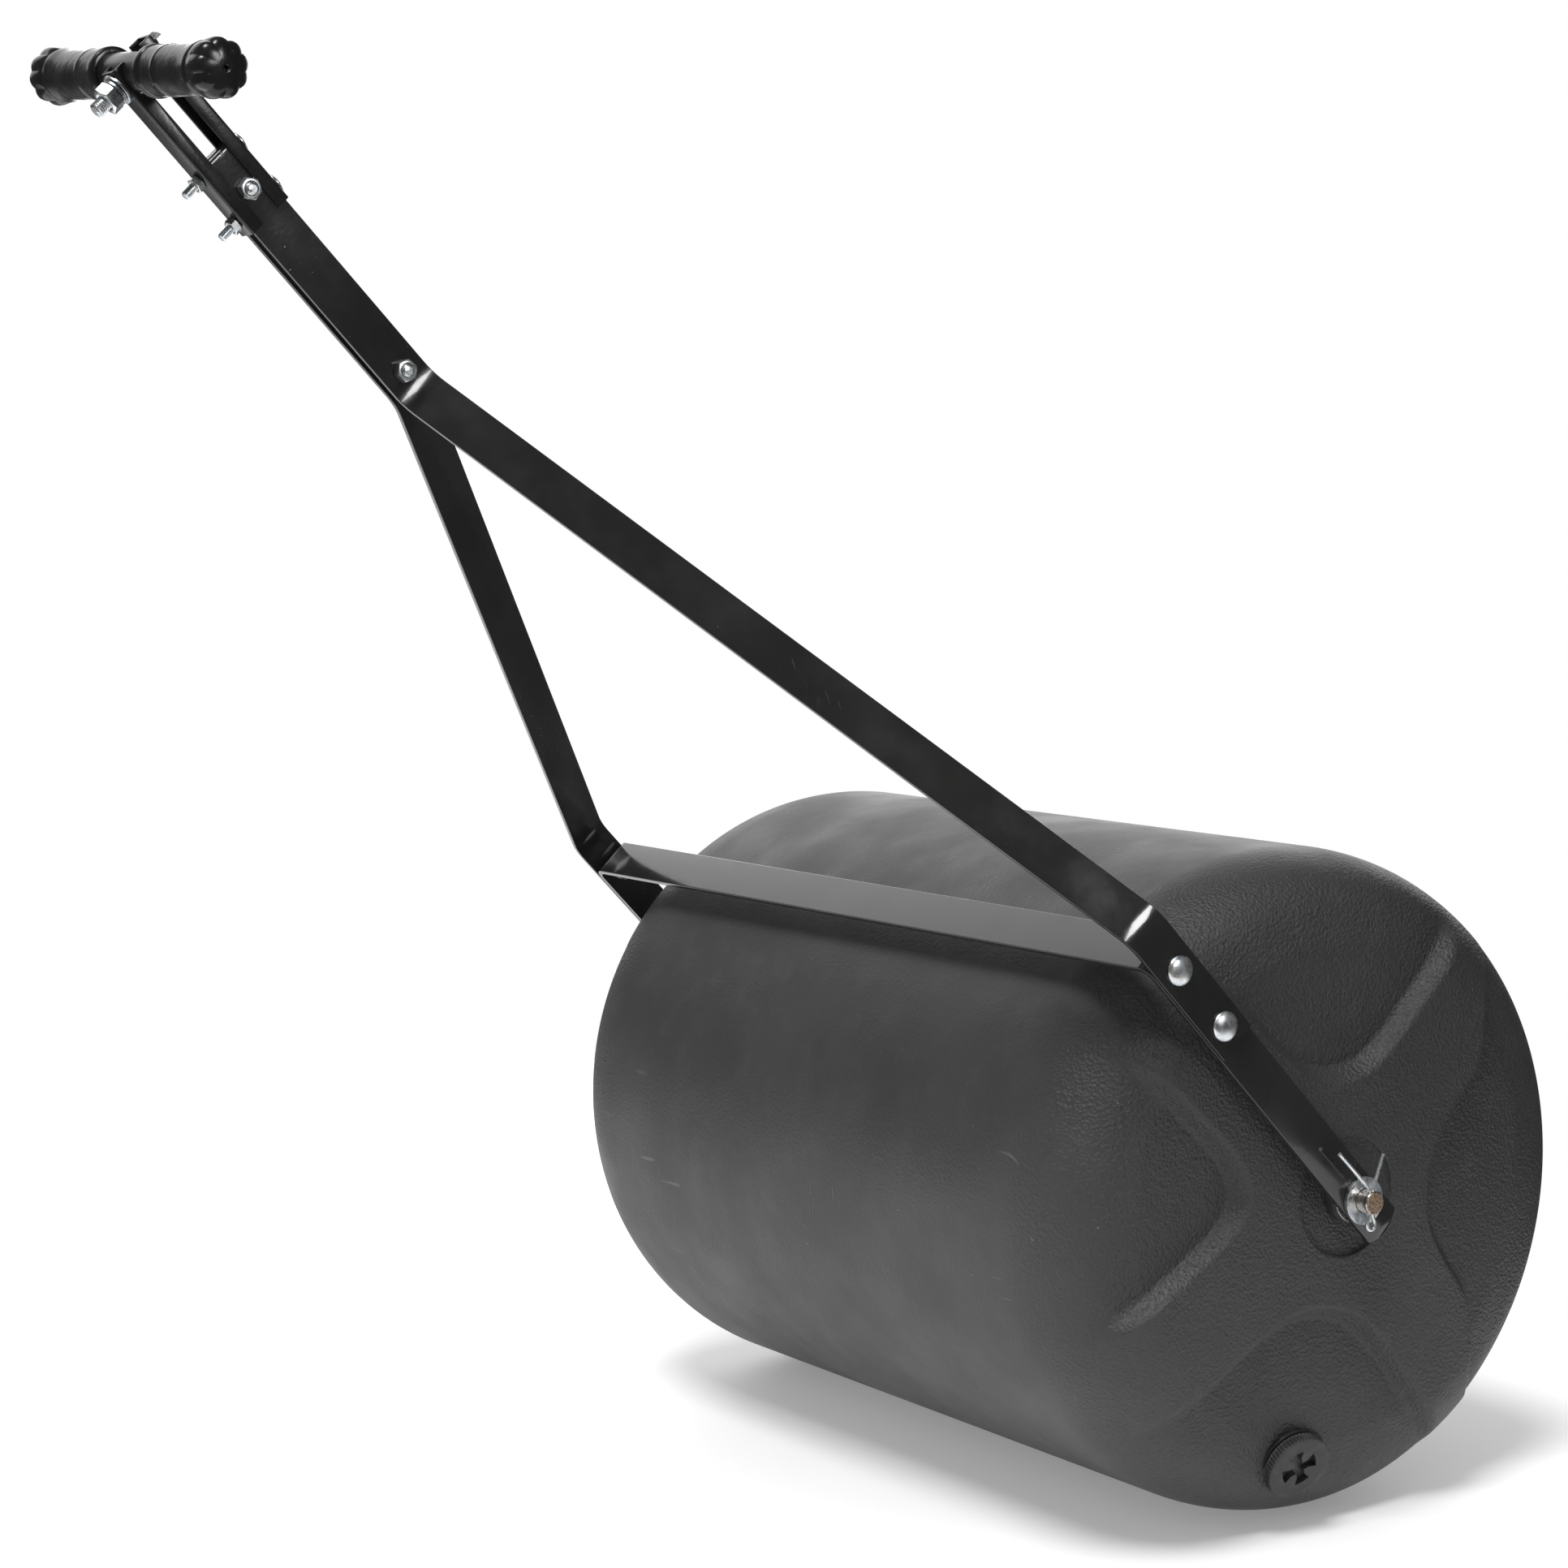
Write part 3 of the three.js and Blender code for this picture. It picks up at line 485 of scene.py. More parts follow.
def drum_profile():
    """(x, radius) from the hub's bore to the middle of the cylinder."""
    floor = DRUM_HALF_WIDTH - HUB_DEPTH
    rim = 1.0 * MM
    profile = [(floor - 3 * MM, BORE_RADIUS), (floor - 0.5 * MM, BORE_RADIUS),
               (floor, BORE_RADIUS + 0.5 * MM)]
    profile += [(floor, radius) for radius in np.linspace(BORE_RADIUS + 3 * MM, HUB_RADIUS - rim, 6)]
    profile += [(floor + 0.4 * MM, HUB_RADIUS - 0.3 * MM), (DRUM_HALF_WIDTH - 0.5 * MM, HUB_RADIUS),
                (DRUM_HALF_WIDTH, HUB_RADIUS + 0.6 * MM)]
    flat_end = DRUM_RADIUS - FILLET_RADIAL
    profile += [(DRUM_HALF_WIDTH, radius) for radius in np.arange(HUB_RADIUS + 2 * MM, flat_end, 1.6 * MM)]
    for angle in np.linspace(0, math.pi / 2, 46):
        profile.append((DRUM_HALF_WIDTH - FILLET_AXIAL * (1 - math.cos(angle)),
                        flat_end + FILLET_RADIAL * math.sin(angle)))
    straight = DRUM_HALF_WIDTH - FILLET_AXIAL
    profile += [(x, DRUM_RADIUS) for x in np.linspace(straight * 0.93, 0, 12)]
    return profile


def drum_surface(x, radius, angles):
    y, z = radius * np.cos(angles), radius * np.sin(angles)
    pressed = np.where(radius > HUB_RADIUS + 1 * MM, hollow_depth(y, z), 0)
    return x - np.sign(x) * pressed, radius


def make_drum():
    half = drum_profile()
    profile = half + [(-x, radius) for x, radius in reversed(half[:-1])]
    shape = turned(profile, DRUM_SEGMENTS, radius_at=drum_surface)
    piece("moulded_drum", shape, Matrix.Translation(AXLE), PLASTIC, "drum",
          ["drum_shell"], 50)


def make_bushing(side, node):
    inner, outer = sorted(abs(value) for value in extent(node, X_AXIS))
    flange_radius = (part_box(node)[1].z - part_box(node)[0].z) / 2
    flange_start = DRUM_HALF_WIDTH - HUB_DEPTH + SLIP
    bore, sleeve = AXLE_RADIUS + SLIP, BORE_RADIUS - SLIP
    section = [(inner, bore), (inner, sleeve), (flange_start, sleeve), (flange_start, flange_radius),
               (outer, flange_radius), (outer, bore)]
    profile = rounded([(side * x, r) for x, r in section], 0.5 * MM, 3, closed=True)
    piece(f"flanged_bushing_{node[12:]}", turned(profile, 64, closed=True), Matrix.Translation(AXLE), PLUG,
          "drum", [node])


# ---------- fasteners, all made along +x from the bearing face at x = 0 ----------

SIDES = 96
HEAD_OVERLAP = 1 * MM
THREAD_SLACK = 0.1 * MM

# head is a dome's radius or a hexagon's width across flats; the thread starts at thread_from
Bolt = namedtuple("Bolt", "shank pitch head head_height nut_flats thread_from")
ARM_BOLT = Bolt(4 * MM, 1.25 * MM, 10 * MM, 4.5 * MM, 13 * MM, 6 * MM)
TIE_BOLT = Bolt(4 * MM, 1.25 * MM, 13 * MM, 5 * MM, 13 * MM, 9 * MM)
CLAMP_BOLT = Bolt(3 * MM, 1.0 * MM, 8 * MM, 3.5 * MM, 10 * MM, 24 * MM)
TEE_BOLT = Bolt(5 * MM, 1.5 * MM, 17 * MM, 6.4 * MM, 17 * MM, 34 * MM)


def hexagon_radius(flats, angles):
    return flats / 2 / np.cos((angles % (TAU / 6)) - TAU / 12)


def hex_prism(flats, height, bore):
    """A hexagon with the curved chamfer that turning leaves on its corners, and a bevelled bore."""
    land = flats / 2 * 0.95
    lead = 0.08 * flats

    def shape(x, radius, angles):
        corner = hexagon_radius(flats, angles)
        drop = np.maximum(corner - land, 0) * math.tan(math.radians(30))
        far_edge = np.isclose(radius, 2 * flats)
        near_edge = np.isclose(radius, 3 * flats)
        radius = np.where(far_edge | near_edge, corner, radius)
        x = np.where(far_edge, height - drop, x)
        x = np.where(near_edge, drop, x)
        return x, radius

    # radii of 2 and 3 flats only mark the two edge rings, which shape() then replaces
    outside = [(height, land), (height, 2 * flats), (0, 3 * flats), (0, land)]
    if bore:
        profile = [(height - lead, bore), (height, bore + lead)] + outside + [(0, bore + lead), (lead, bore)]
        return turned(profile, SIDES, closed=True, radius_at=shape)
    profile = [(height, 0)] + outside + [(0, 0)]
    return turned(profile, SIDES, radius_at=shape)


def threaded_rod(radius, start, end, pitch, thread_from):
    """A shank that turns into a real helical thread, with a bevelled tip."""
    depth = 0.55 * pitch
    per_turn = 8
    steps = int(math.ceil((end - thread_from) / pitch * per_turn))
    profile = [(start, 0), (start, radius), (thread_from, radius)]
    profile += [(x, radius) for x in np.linspace(thread_from + pitch / per_turn, end, steps)]
    profile.append((end, 0))

    def shape(x, ring, angles):
        turn = (x / pitch - angles / TAU) % 1.0
        cut = depth * np.clip(1.6 * np.abs(2 * turn - 1) - 0.3, 0, 1)
        fade_in = np.clip((x - thread_from) / pitch, 0, 1)
        bevel = np.clip(x - (end - depth * 1.4), 0, depth * 1.4)
        return x, np.where(ring > 0, ring - cut * fade_in - np.where(ring > 0, bevel, 0) * 0.9, 0)

    return turned(profile, 40, radius_at=shape)


def domed_head(radius, height):
    """A low dome with a small flat rim, as on a carriage bolt; it stands towards -x."""
    curve = [(-height * math.cos(angle), radius * math.sin(angle))
             for angle in np.linspace(0, math.pi / 2 * 0.93, 14)]
    return turned(curve + [(-0.2 * height, radius), (0, radius * 0.99), (0, 0)], 56)


def bolt_shape(size, head, length):
    """A head with a shank of the given length behind it."""
    return joined(head, threaded_rod(size.shank, -HEAD_OVERLAP, length, size.pitch, size.thread_from))


def nut_shape(size, height):
    return hex_prism(size.nut_flats, height, size.shank + THREAD_SLACK)


def washer(outer, inner, thickness):
    section = [(0, inner), (0, outer), (thickness, outer), (thickness, inner)]
    return turned(rounded(section, 0.35 * MM, 3, closed=True), 72, closed=True)


def facing(origin, direction, spin=0.0):
    """Puts a shape made along +x at origin, pointing in a direction."""
    direction = Vector(direction).normalized()
    turn = Vector((1, 0, 0)).rotation_difference(direction).to_matrix().to_4x4()
    return Matrix.Translation(origin) @ turn @ Matrix.Rotation(spin, 4, "X")


def on_handle(x, v, u):
    return HANDLE @ Vector((x, v, u))


def zinc_piece(name, shape, place, node, body="frame"):
    return piece(name, shape, place, ZINC, body, [node], 32)


def bolt_axis(node, axis):
    """The middle line of a fastener that lies along the axle or across the handle."""
    return on_handle(*(middle(node, direction) if direction != axis else 0.0
                       for direction in (X_AXIS, V_AXIS, U_AXIS)))


def make_arm_bolts():
    for side, name in ((1, "right"), (-1, "left")):
        inward = X_AXIS * -side
        for level in ("lower", "upper"):
            node = f"arm_bolt_{name}_{level}"
            centre = bolt_axis(node, X_AXIS)
            inner, outer = sorted(abs(value) for value in extent(node, X_AXIS))
            bearing = outer - ARM_BOLT.head_height
            head = domed_head(ARM_BOLT.head, ARM_BOLT.head_height)
            zinc_piece(f"carriage_bolt_{name}_{level}", bolt_shape(ARM_BOLT, head, bearing - inner),
                       facing(centre + X_AXIS * side * bearing, inward), node)
            node = f"arm_nut_{name}_{level}"
            end, start = sorted(abs(value) for value in extent(node, X_AXIS))
            spin = {"lower": 0.3, "upper": 0.8}[level]
            zinc_piece(f"hex_nut_{name}_{level}", nut_shape(ARM_BOLT, start - end),
                       facing(centre + X_AXIS * side * start, inward, spin), node)


def make_handle_bolts():
    for level, spin in (("lower", 0.35), ("upper", 0.9)):
        node = f"handle_bolt_{level}"
        centre = bolt_axis(node, X_AXIS)
        low, high = extent(node, X_AXIS)
        bearing = low + TIE_BOLT.head_height
        head = hex_prism_head(TIE_BOLT.head, TIE_BOLT.head_height)
        zinc_piece(f"tie_bolt_{level}", bolt_shape(TIE_BOLT, head, high - bearing),
                   facing(centre + X_AXIS * bearing, X_AXIS, spin), node)
        node = f"handle_nut_{level}"
        low, high = extent(node, X_AXIS)
        zinc_piece(f"tie_nut_{level}", nut_shape(TIE_BOLT, high - low),
                   facing(centre + X_AXIS * low, X_AXIS, spin), node)
        node = f"handle_spacer_{level}"
        low, high = extent(node, X_AXIS)
        zinc_piece(f"tie_spacer_{level}", washer(6.5 * MM, TIE_BOLT.shank + SLIP, high - low),
                   facing(centre + X_AXIS * low, X_AXIS), node)


def hex_prism_head(flats, height):
    """A bolt head that stands towards -x."""
    points, faces = hex_prism(flats, height, 0)
    return points * np.array([-1, 1, 1]), faces


def make_bracket_bolts():
    down = -V_AXIS
    for level, spin in (("lower", 0.2), ("upper", 0.75)):
        node = f"bracket_bolt_{level}"
        centre = bolt_axis(node, V_AXIS)
        low, high = extent(node, V_AXIS)
        bearing = high - CLAMP_BOLT.head_height
        head = domed_head(CLAMP_BOLT.head, CLAMP_BOLT.head_height)
        zinc_piece(f"clamp_bolt_{level}", bolt_shape(CLAMP_BOLT, head, bearing - low),
                   facing(centre + V_AXIS * bearing, down), node)
        node = f"bracket_nut_{level}"
        low, high = extent(node, V_AXIS)
        zinc_piece(f"clamp_nut_{level}", nut_shape(CLAMP_BOLT, high - low),
                   facing(centre + V_AXIS * high, down, spin), node)


def make_handle_bar_bolt():
    down = -V_AXIS
    centre = bolt_axis("handle_bar_bolt", V_AXIS)
    low, high = extent("handle_bar_bolt", V_AXIS)
    bearing = high - TEE_BOLT.head_height
    head = hex_prism_head(TEE_BOLT.head, TEE_BOLT.head_height)
    zinc_piece("tee_bolt", bolt_shape(TEE_BOLT, head, bearing - low),
               facing(centre + V_AXIS * bearing, down, 0.4), "handle_bar_bolt")
    hole = TEE_BOLT.shank + SLIP
    low, high = extent("handle_bar_washer", V_AXIS)
    zinc_piece("tee_flat_washer", washer(10.5 * MM, hole, high - low),
               facing(centre + V_AXIS * high, down), "handle_bar_washer")
    low, high = extent("handle_bar_lock_washer", V_AXIS)
    zinc_piece("tee_lock_washer", split_washer(9 * MM, hole, high - low),
               facing(centre + V_AXIS * high, down, 2.2), "handle_bar_lock_washer")
    low, high = extent("handle_bar_nut", V_AXIS)
    zinc_piece("tee_nut", nut_shape(TEE_BOLT, high - low),
               facing(centre + V_AXIS * high, down, 0.15), "handle_bar_nut")


def split_washer(outer, inner, thickness):
    """A spring washer: one slightly raised turn with a gap."""
    rise = 0.2 * thickness
    body = thickness * 0.8
    section = rounded([(0, inner), (0, outer), (body, outer), (body, inner)], 0.2 * MM, 2, closed=True)
    gap = math.radians(8)
    rows = []
    for angle in np.linspace(gap, TAU - gap, 60):
        lift = rise * angle / TAU
        rows.append([(x + lift, r * math.cos(angle), r * math.sin(angle)) for x, r in section])
    return skin(rows)


# ---------- axle hardware ----------

def make_axle():
    half = AXLE_HALF_LENGTH
    radius = AXLE_RADIUS
    chamfer = 1 * MM
    side = rounded([(-half, 0), (-half, radius - chamfer), (chamfer - half, radius),
                    (half - chamfer, radius), (half, radius - chamfer), (half, 0)], 0.4 * MM, 3)
    piece("axle_shaft", turned(side, 64), Matrix.Translation(AXLE), STEEL, "frame",
          ["axle_rod"])


def make_axle_washers():
    for name in ("right", "left"):
        for place in ("inner", "outer"):
            node = f"{place}_washer_{name}"
            low, high = extent(node, X_AXIS)
            zinc_piece(f"axle_washer_{place}_{name}", washer(16 * MM, AXLE_RADIUS + SLIP, high - low),
                       facing(AXLE + X_AXIS * low, X_AXIS), node)


def make_cotter_pins():
    """One wire each: down from a spread tip, round the eye below the axle, and up again."""
    wire = 1.4 * MM
    strand = 1.55
    route = np.array([
        (0, -27, 36), (0, -12, 20.5), (0, -3.2, 11), (0, -strand, 6.5), (0, -strand, 0), (0, -strand, -6.5),
        (0, -2, -10.5), (0, -3.3, -14.5), (0, -2.4, -17.7), (0, 0, -18.7), (0, 2.4, -17.7),
        (0, 3.3, -14.5), (0, 2, -10.5), (0, strand, -6.5), (0, strand, 0), (0, strand, 6.5), (0, 3, 11),
        (0, 6.6, 19.5), (0, 11.4, 31)]) * MM
    for name in ("right", "left"):
        node = f"cotter_pin_{name}"
        place = Matrix.Translation(AXLE + X_AXIS * middle(node, X_AXIS))
        zinc_piece(f"split_pin_{name}", tube(smooth_path(route), wire, 14), place, node)


# ---------- bars ----------

BAR_EDGE = 0.7 * MM
YOKE_THICKNESS = 4 * MM
YOKE_CORNER = 9 * MM
YOKE_FOOT_SAG = 5 * MM
ARM_THICKNESS = 3.5 * MM
ARM_GAP = 6.6 * MM
ARM_LOWER_BEND = 271.6 * MM
ARM_JUNCTION = 744.1 * MM
ARM_BEND = 10 * MM
ARM_LIP_BEND = 2.4 * MM
ARM_LIP_STRAIGHT = 4 * MM


def bar_section(width, thickness):
    """(across, through) points of a flat bar's rounded rectangle."""
    w, t = width / 2, thickness / 2
    return rounded([(-w, -t), (w, -t), (w, t), (-w, t)], BAR_EDGE, 4, closed=True)


def swept_bar(points, thickness, width, foot=None):
    """A flat bar whose centre line runs through (x, u) points; its width lies along v."""
    path = [np.array(points[0], float)]
    for point in points[1:]:
        if np.linalg.norm(point - path[-1]) > 1e-6:
            path.append(np.array(point, float))
    path = np.array(path)
    step = np.diff(path, axis=0)
    step /= np.linalg.norm(step, axis=1)[:, None]
    tangent = np.vstack([step[:1], step[:-1] + step[1:], step[-1:]])
    tangent /= np.linalg.norm(tangent, axis=1)[:, None]
    normal = np.stack([-tangent[:, 1], tangent[:, 0]], 1)
    rows = []
    for (x, u), (nx, nu) in zip(path, normal):
        scale = foot(u) if foot else 1.0
        rows.append([(x + nx * t, v * scale, u + nu * t) for v, t in bar_section(width, thickness)])
    return skin(rows)


def make_yoke():
    outer_x = extent("yoke", X_AXIS)[1]
    width = 2 * extent("yoke", V_AXIS)[1]
    foot_end, brace_outer = extent("yoke", U_AXIS)
    thickness = YOKE_THICKNESS
    leg_x, brace_u = outer_x - thickness / 2, brace_outer - thickness / 2
    sag = YOKE_FOOT_SAG
    radius = (sag ** 2 + (width / 2) ** 2) / (2 * sag)

    def foot(u):
        drop = foot_end + sag - u
        if drop <= 0:
            return 1.0
        half = math.sqrt(max(radius ** 2 - (radius - sag + drop) ** 2, 0))
        return max(half / (width / 2), 0.02)

    foot_steps = [foot_end + sag * (1 - math.cos(t)) for t in np.linspace(0, math.pi / 2, 12)]
    straight_from = foot_steps[-1]
    corners = [(-leg_x, straight_from), (-leg_x, brace_u), (leg_x, brace_u), (leg_x, straight_from)]
    path = [np.array((-leg_x, u)) for u in foot_steps[:-1]]
    path += rounded(corners, YOKE_CORNER, 12)
    path += [np.array((leg_x, u)) for u in reversed(foot_steps[:-1])]
    shape = swept_bar(path, thickness, width, foot)
    piece("yoke_bar", shape, HANDLE, PAINT, "frame", ["yoke"])


def make_arms():
    thickness = ARM_THICKNESS
    for side, name in ((1, "right"), (-1, "left")):
        node = f"long_arm_{name}"
        inner_x, outer_x = sorted(abs(value) for value in extent(node, X_AXIS))
        start_u, top_u = extent(node, U_AXIS)
        width = 2 * extent(node, V_AXIS)[1]
        lower_x = outer_x - thickness / 2
        upper_x = (ARM_GAP + thickness) / 2
        lip_u = top_u - thickness / 2
        lip_start = (upper_x, lip_u - ARM_LIP_STRAIGHT)
        corners = [(lower_x, start_u), (lower_x, ARM_LOWER_BEND), (upper_x, ARM_JUNCTION), lip_start]
        path = rounded(corners, ARM_BEND, 12)
        path += rounded([lip_start, (upper_x, lip_u), (inner_x, lip_u)], ARM_LIP_BEND, 8)[1:]
        shape = swept_bar([(side * x, u) for x, u in path], thickness, width)
        piece(f"arm_bar_{name}", shape, HANDLE, PAINT, "frame", [node])


# ---------- brackets, T-bar and grips ----------

HANDLE_BAR_RADIUS = 12.5 * MM
HANDLE_BAR_WALL = 2 * MM
HANDLE_BAR_HALF = 111 * MM
BRACKET_WALL = 2 * MM
BRACKET_BEND = 2.6 * MM
GRIP_START = 27 * MM
GRIP_END = 84.3 * MM
GRIP_LOBES = 9
GRIP_LOBE_RISE = 0.045
HANDLE_BAR_CENTRE = Vector(sum(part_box("handle_bar"), Vector()) / 2)


def handle_bar_direction():
    """The T-bar's own line, from the middles of its two grips."""
    right = sum(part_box("grip_right"), Vector()) / 2
    left = sum(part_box("grip_left"), Vector()) / 2
    return (right - left).normalized()


BAR_DIRECTION = handle_bar_direction()


def make_bracket(node, side, name):
    low_u, high_u = extent(node, U_AXIS)
    half_width = extent(node, X_AXIS)[1]
    near_v, far_v = sorted(abs(value) for value in extent(node, V_AXIS))
    inner = half_width - BRACKET_WALL
    inner_v = far_v - BRACKET_WALL
    outside = rounded([(-half_width, near_v), (-half_width, far_v), (half_width, far_v),
                       (half_width, near_v)], BRACKET_BEND, 6)
    inside = rounded([(inner, near_v), (inner, inner_v), (-inner, inner_v), (-inner, near_v)],
                     BRACKET_BEND - BRACKET_WALL, 4)
    section = outside + inside
    rows = [[(x, side * v, u) for x, v in section] for u in (low_u, high_u)]
    obj = piece(name, skin(rows), HANDLE, BRACKET_PAINT, "frame", [node])
    reach, notch_radius = 40 * MM, HANDLE_BAR_RADIUS + SLIP
    notch = turned([(-reach, 0), (-reach, notch_radius), (reach, notch_radius), (reach, 0)], 64)
    carve(obj, [(*notch, facing(HANDLE_BAR_CENTRE, BAR_DIRECTION))])
    soften_edges(obj, 0.35 * MM)
    finish_piece(obj, BRACKET_PAINT, "frame", [node])


def make_handle_bar():
    half, outer, inner = HANDLE_BAR_HALF, HANDLE_BAR_RADIUS, HANDLE_BAR_RADIUS - HANDLE_BAR_WALL
    section = [(-half, inner), (-half, outer), (half, outer), (half, inner)]
    profile = rounded(section, 0.4 * MM, 3, closed=True)
    piece("tee_tube", turned(profile, 72, closed=True), facing(HANDLE_BAR_CENTRE, BAR_DIRECTION),
          BRACKET_PAINT, "frame", ["handle_bar"])


def make_grip(node, side, name):
    """A collar, a waist and a bead, then the lobed end with a small hole in its middle."""
    bore = HANDLE_BAR_RADIUS + 0.25 * MM
    curve = np.array([
        (0, 15.4), (1.2, 16.4), (5, 16.5), (7.5, 15.7), (20, 15.6), (24, 16.0), (28, 15.6), (52, 15.7),
        (60, 16.2), (66, 16.9), (69, 16.4), (73, 17.6), (80, 18.0), (85, 16.8), (88, 13.0), (89.6, 7.0),
        (90.1, 2.4)]) * MM
    end_hole = [(89.4 * MM, 1.5 * MM), (86.5 * MM, 1.2 * MM), (86.5 * MM, 0.0)]
    outside = [tuple(point) for point in smooth_path([(x, r, 0) for x, r in curve], 5)[:, :2]]
    inner_wall = [(GRIP_END, 0.0), (GRIP_END, bore), (0.4 * MM, bore)]

    def lobes(x, radius, angles):
        along = ease(68 * MM, 76 * MM, x)
        out = ease(3 * MM, 15 * MM, radius)
        wave = np.abs(np.cos(GRIP_LOBES * angles / 2)) * 2 - 1.35
        return x, radius * (1 + GRIP_LOBE_RISE * along * out * wave)

    points, faces = turned([(0.0, bore)] + outside + end_hole + inner_wall, 216, radius_at=lobes)
    open_ended = (points, faces[:-2])
    outward = BAR_DIRECTION * side
    piece(name, open_ended, facing(HANDLE_BAR_CENTRE + outward * GRIP_START, outward, 0.25), VINYL,
          "frame", [node], 60)


# ---------- filler plug ----------

PORT = Vector(joints["plug_turn"]["pos_m"])
PORT_AXIS = Vector(joints["plug_turn"]["axis"]).normalized()
PORT_PLACE = facing(PORT, PORT_AXIS)
PLUG_TEETH = 56
PLUG_SPIN = math.radians(25)
PLUG_HEAD_HEIGHT = 7.4 * MM
PLUG_HEAD_RADIUS = 24 * MM
PLUG_SHANK_RADIUS = 15.6 * MM
PLUG_PITCH = 4 * MM
PLUG_RECESS_DEPTH = 4.5 * MM
GASKET_RADIUS = 25.5 * MM


def port_extent(node):
    places = [(vertex.co - PORT).dot(PORT_AXIS) for vertex in frame["nodes"][node].data.vertices]
    return min(places), max(places)


def make_plug():
    tip, face = port_extent("fill_plug")
    head = face - PLUG_HEAD_HEIGHT
    radius, shank = PLUG_HEAD_RADIUS, PLUG_SHANK_RADIUS

    def knurl(x, ring, angles):
        teeth = 0.5 + 0.5 * np.cos(PLUG_TEETH * angles)
        on_rim = ease(radius - 1.6 * MM, radius - 0.7 * MM, ring)
        on_rim = on_rim * ease(face - 0.1 * MM, face - 1.2 * MM, x)
        on_rim = on_rim * ease(head + 0.6 * MM, head + 1.4 * MM, x)
        ring = ring - 0.9 * MM * teeth ** 1.5 * on_rim
        on_shank = (ring <= shank + 1e-9) & (ring > shank - 1.5 * MM) & (x < head - 1 * MM)
        turn = (x / PLUG_PITCH - angles / TAU) % 1.0
        groove = 1.3 * MM * np.clip(1.5 * np.abs(2 * turn - 1) - 0.25, 0, 1)
        return x, np.where(on_shank, ring - groove, ring)

    outline = [(tip, 0), (tip, shank - 1.8 * MM), (tip + 0.6 * MM, shank - 0.4 * MM)]
    outline += [(x, shank) for x in np.arange(tip + 1 * MM, head - 0.6 * MM, 0.4 * MM)]
    outline += [(head - 0.2 * MM, shank), (head, shank + 0.4 * MM), (head, radius - 0.7 * MM),
                (head + 0.5 * MM, radius)]
    outline += [(x, radius) for x in np.linspace(head + 0.8 * MM, face - 1.2 * MM, 12)]
    outline += [(face - 0.7 * MM, radius - 0.15 * MM), (face - 0.25 * MM, radius - 0.6 * MM),
                (face, radius - 1.3 * MM), (face, radius - 4 * MM), (face, 12 * MM), (face, 0)]
    plug = piece("screw_plug", turned(outline, PLUG_TEETH * 8, radius_at=knurl), PORT_PLACE, PLUG,
                 "filler_plug", ["fill_plug"], 40)
    carve(plug, [(*wing, PORT_PLACE) for wing in recess_wings(face)])
    finish_piece(plug, PLUG, "filler_plug", ["fill_plug"], 40)


def recess_wings(face):
    """Four flared slots that meet in the middle: the cross-shaped recess of the plug's key."""
    depth = PLUG_RECESS_DEPTH
    outline = np.array([(-3.5, -2), (3.5, -2), (3.0, 7.0), (5.8, 12.6), (0, 13.4), (-5.8, 12.6),
                        (-3.0, 7.0)]) * MM
    for turn in range(4):
        angle = PLUG_SPIN + turn * TAU / 4
        c, s = math.cos(angle), math.sin(angle)
        flat = [(y * c - z * s, y * s + z * c) for y, z in outline]
        yield skin([[(x, y, z) for y, z in flat] for x in (face - depth, face + depth)])


def make_gasket():
    low, high = port_extent("plug_gasket")
    inner = PLUG_SHANK_RADIUS + SLIP
    section = [(low, inner), (low, GASKET_RADIUS), (high, GASKET_RADIUS), (high, inner)]
    profile = rounded(section, 0.6 * MM, 4, closed=True)
    piece("plug_seal", turned(profile, 96, closed=True), PORT_PLACE, RUBBER, "filler_gasket",
          ["plug_gasket"])


# ---------- studio ----------

def make_floor():
    left, right, front, back = -1.8, 0.95, -1.8, 0.5
    rows = [[(left, front, 0), (right, front, 0)], [(left, back, 0), (right, back, 0)]]
    points, faces = skin(rows, wrap=False, caps=False)
    mesh = bpy.data.meshes.new("floor")
    mesh.from_pydata([tuple(point) for point in points], [], faces)
    floor = bpy.data.objects.new("floor", mesh)
    bpy.context.scene.collection.objects.link(floor)
    look = Look("pale_floor", Roughness=0.85, Specular_IOR_Level=0.1, Emission_Color=grey(1.0),
                Emission_Strength=0.22)
    mesh.materials.append(look.set(Base_Color=look.blend(look.noise(2.0), grey(0.86), grey(0.90))))


def add_light(name, kind, place, target, power, **settings):
    light = bpy.data.lights.new(name, kind)
    light.energy = power
    for key, value in settings.items():
        setattr(light, key, value)
    obj = bpy.data.objects.new(name, light)
    obj.location = place
    obj.rotation_euler = (Vector(target) - Vector(place)).to_track_quat("-Z", "Y").to_euler()
    bpy.context.scene.collection.objects.link(obj)
    return obj


def softbox(name, direction, distance, width, height, radiance):
    """A rectangular light seen from the roller in a direction, with a given brightness."""
    target = Vector((0, -0.3, 0.5))
    place = target + Vector(direction).normalized() * distance
    power = radiance * math.pi * width * height
    return add_light(name, "AREA", place, target, power, shape="RECTANGLE", size=width, size_y=height)


def make_lights():
    add_light("key", "SUN", (0.5, -1.0, 2.8), (0, 0, 0), 2.2, angle=math.radians(22))
    fill = add_light("fill", "SUN", (0.0, -2.4, 0.9), (0, 0, 0), 0.5, angle=math.radians(60))
    fill.visible_glossy = False
    softbox("backdrop", (-0.74, 0.62, 0.26), 3.2, 3.8, 1.6, 2.4)
    softbox("left_overhead", (-0.825, -0.06, 0.563), 2.8, 2.2, 1.5, 1.3)
    strip = softbox("right_strip", (0.90, 0.10, 0.42), 2.8, 0.7, 0.6, 18.0)
    strip.visible_diffuse = False


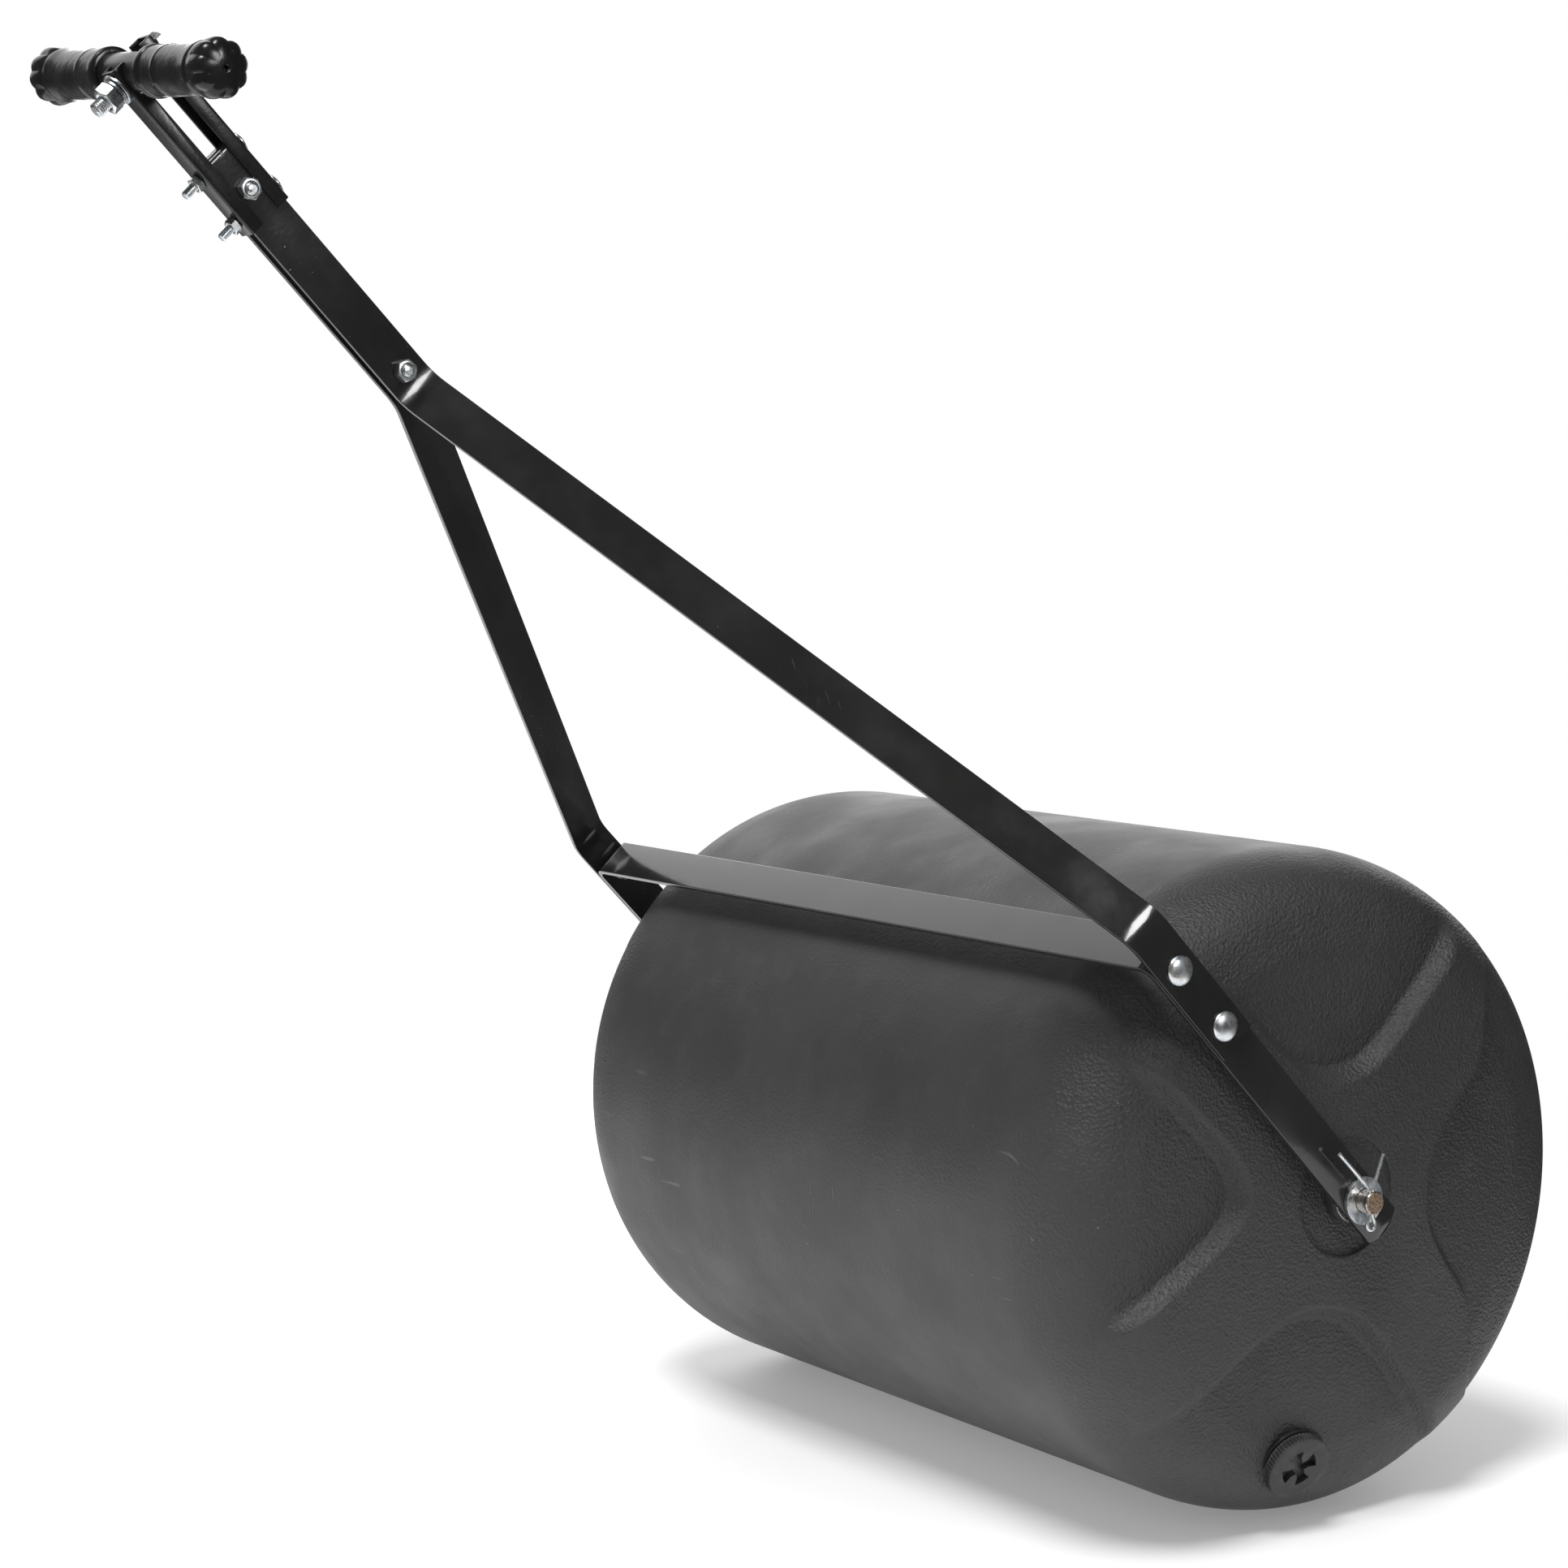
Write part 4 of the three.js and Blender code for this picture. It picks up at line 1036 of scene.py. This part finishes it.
def make_world():
    """White to the camera, dim as a light, and dimmer still in reflections."""
    world = bpy.data.worlds.new("studio")
    bpy.context.scene.world = world
    world.use_nodes = True
    nodes, links = world.node_tree.nodes, world.node_tree.links
    path = nodes.new("ShaderNodeLightPath")
    seen_by_surfaces = nodes.new("ShaderNodeMix")
    seen_by_surfaces.data_type = "RGBA"
    links.new(path.outputs["Is Glossy Ray"], seen_by_surfaces.inputs[0])
    seen_by_surfaces.inputs[6].default_value = grey(0.30)
    seen_by_surfaces.inputs[7].default_value = grey(0.09)
    seen = nodes.new("ShaderNodeMix")
    seen.data_type = "RGBA"
    links.new(path.outputs["Is Camera Ray"], seen.inputs[0])
    links.new(seen_by_surfaces.outputs[2], seen.inputs[6])
    seen.inputs[7].default_value = grey(1.0)
    links.new(seen.outputs[2], nodes["Background"].inputs["Color"])


def make_camera():
    yaw, pitch, roll = math.radians(56.617), math.radians(6.373), math.radians(-1.497)
    camera = bpy.data.cameras.new("camera")
    camera.sensor_width = 36.0
    camera.lens = 80.20062
    camera.shift_x = -0.0037267
    camera.shift_y = 0.0184783
    level = Vector((-math.sin(yaw), math.cos(yaw), 0))
    forward = level * math.cos(pitch) - Vector((0, 0, math.sin(pitch)))
    right = Vector((math.cos(yaw), math.sin(yaw), 0))
    up = right.cross(forward)
    tilted_right = right * math.cos(roll) + up * math.sin(roll)
    tilted_up = up * math.cos(roll) - right * math.sin(roll)
    obj = bpy.data.objects.new("camera", camera)
    place = AXLE + Vector((2.0352, -1.5604, 0.5216))
    obj.matrix_world = frame_matrix(tilted_right, tilted_up, -forward, place)
    bpy.context.scene.collection.objects.link(obj)
    bpy.context.scene.camera = obj


make_camera()
make_lights()
make_world()
make_floor()
bpy.context.scene.view_settings.view_transform = "Standard"
make_drum()
make_bushing(1, "hub_bushing_right")
make_bushing(-1, "hub_bushing_left")
make_plug()
make_gasket()
make_axle()
make_axle_washers()
make_cotter_pins()
make_yoke()
make_arms()
make_arm_bolts()
make_handle_bolts()
make_bracket("hitch_bracket_upper", 1, "channel_bracket_upper")
make_bracket("hitch_bracket_lower", -1, "channel_bracket_lower")
make_bracket_bolts()
make_handle_bar_bolt()
make_handle_bar()
make_grip("grip_right", 1, "lobed_grip_right")
make_grip("grip_left", -1, "lobed_grip_left")

bpy.context.view_layer.update()
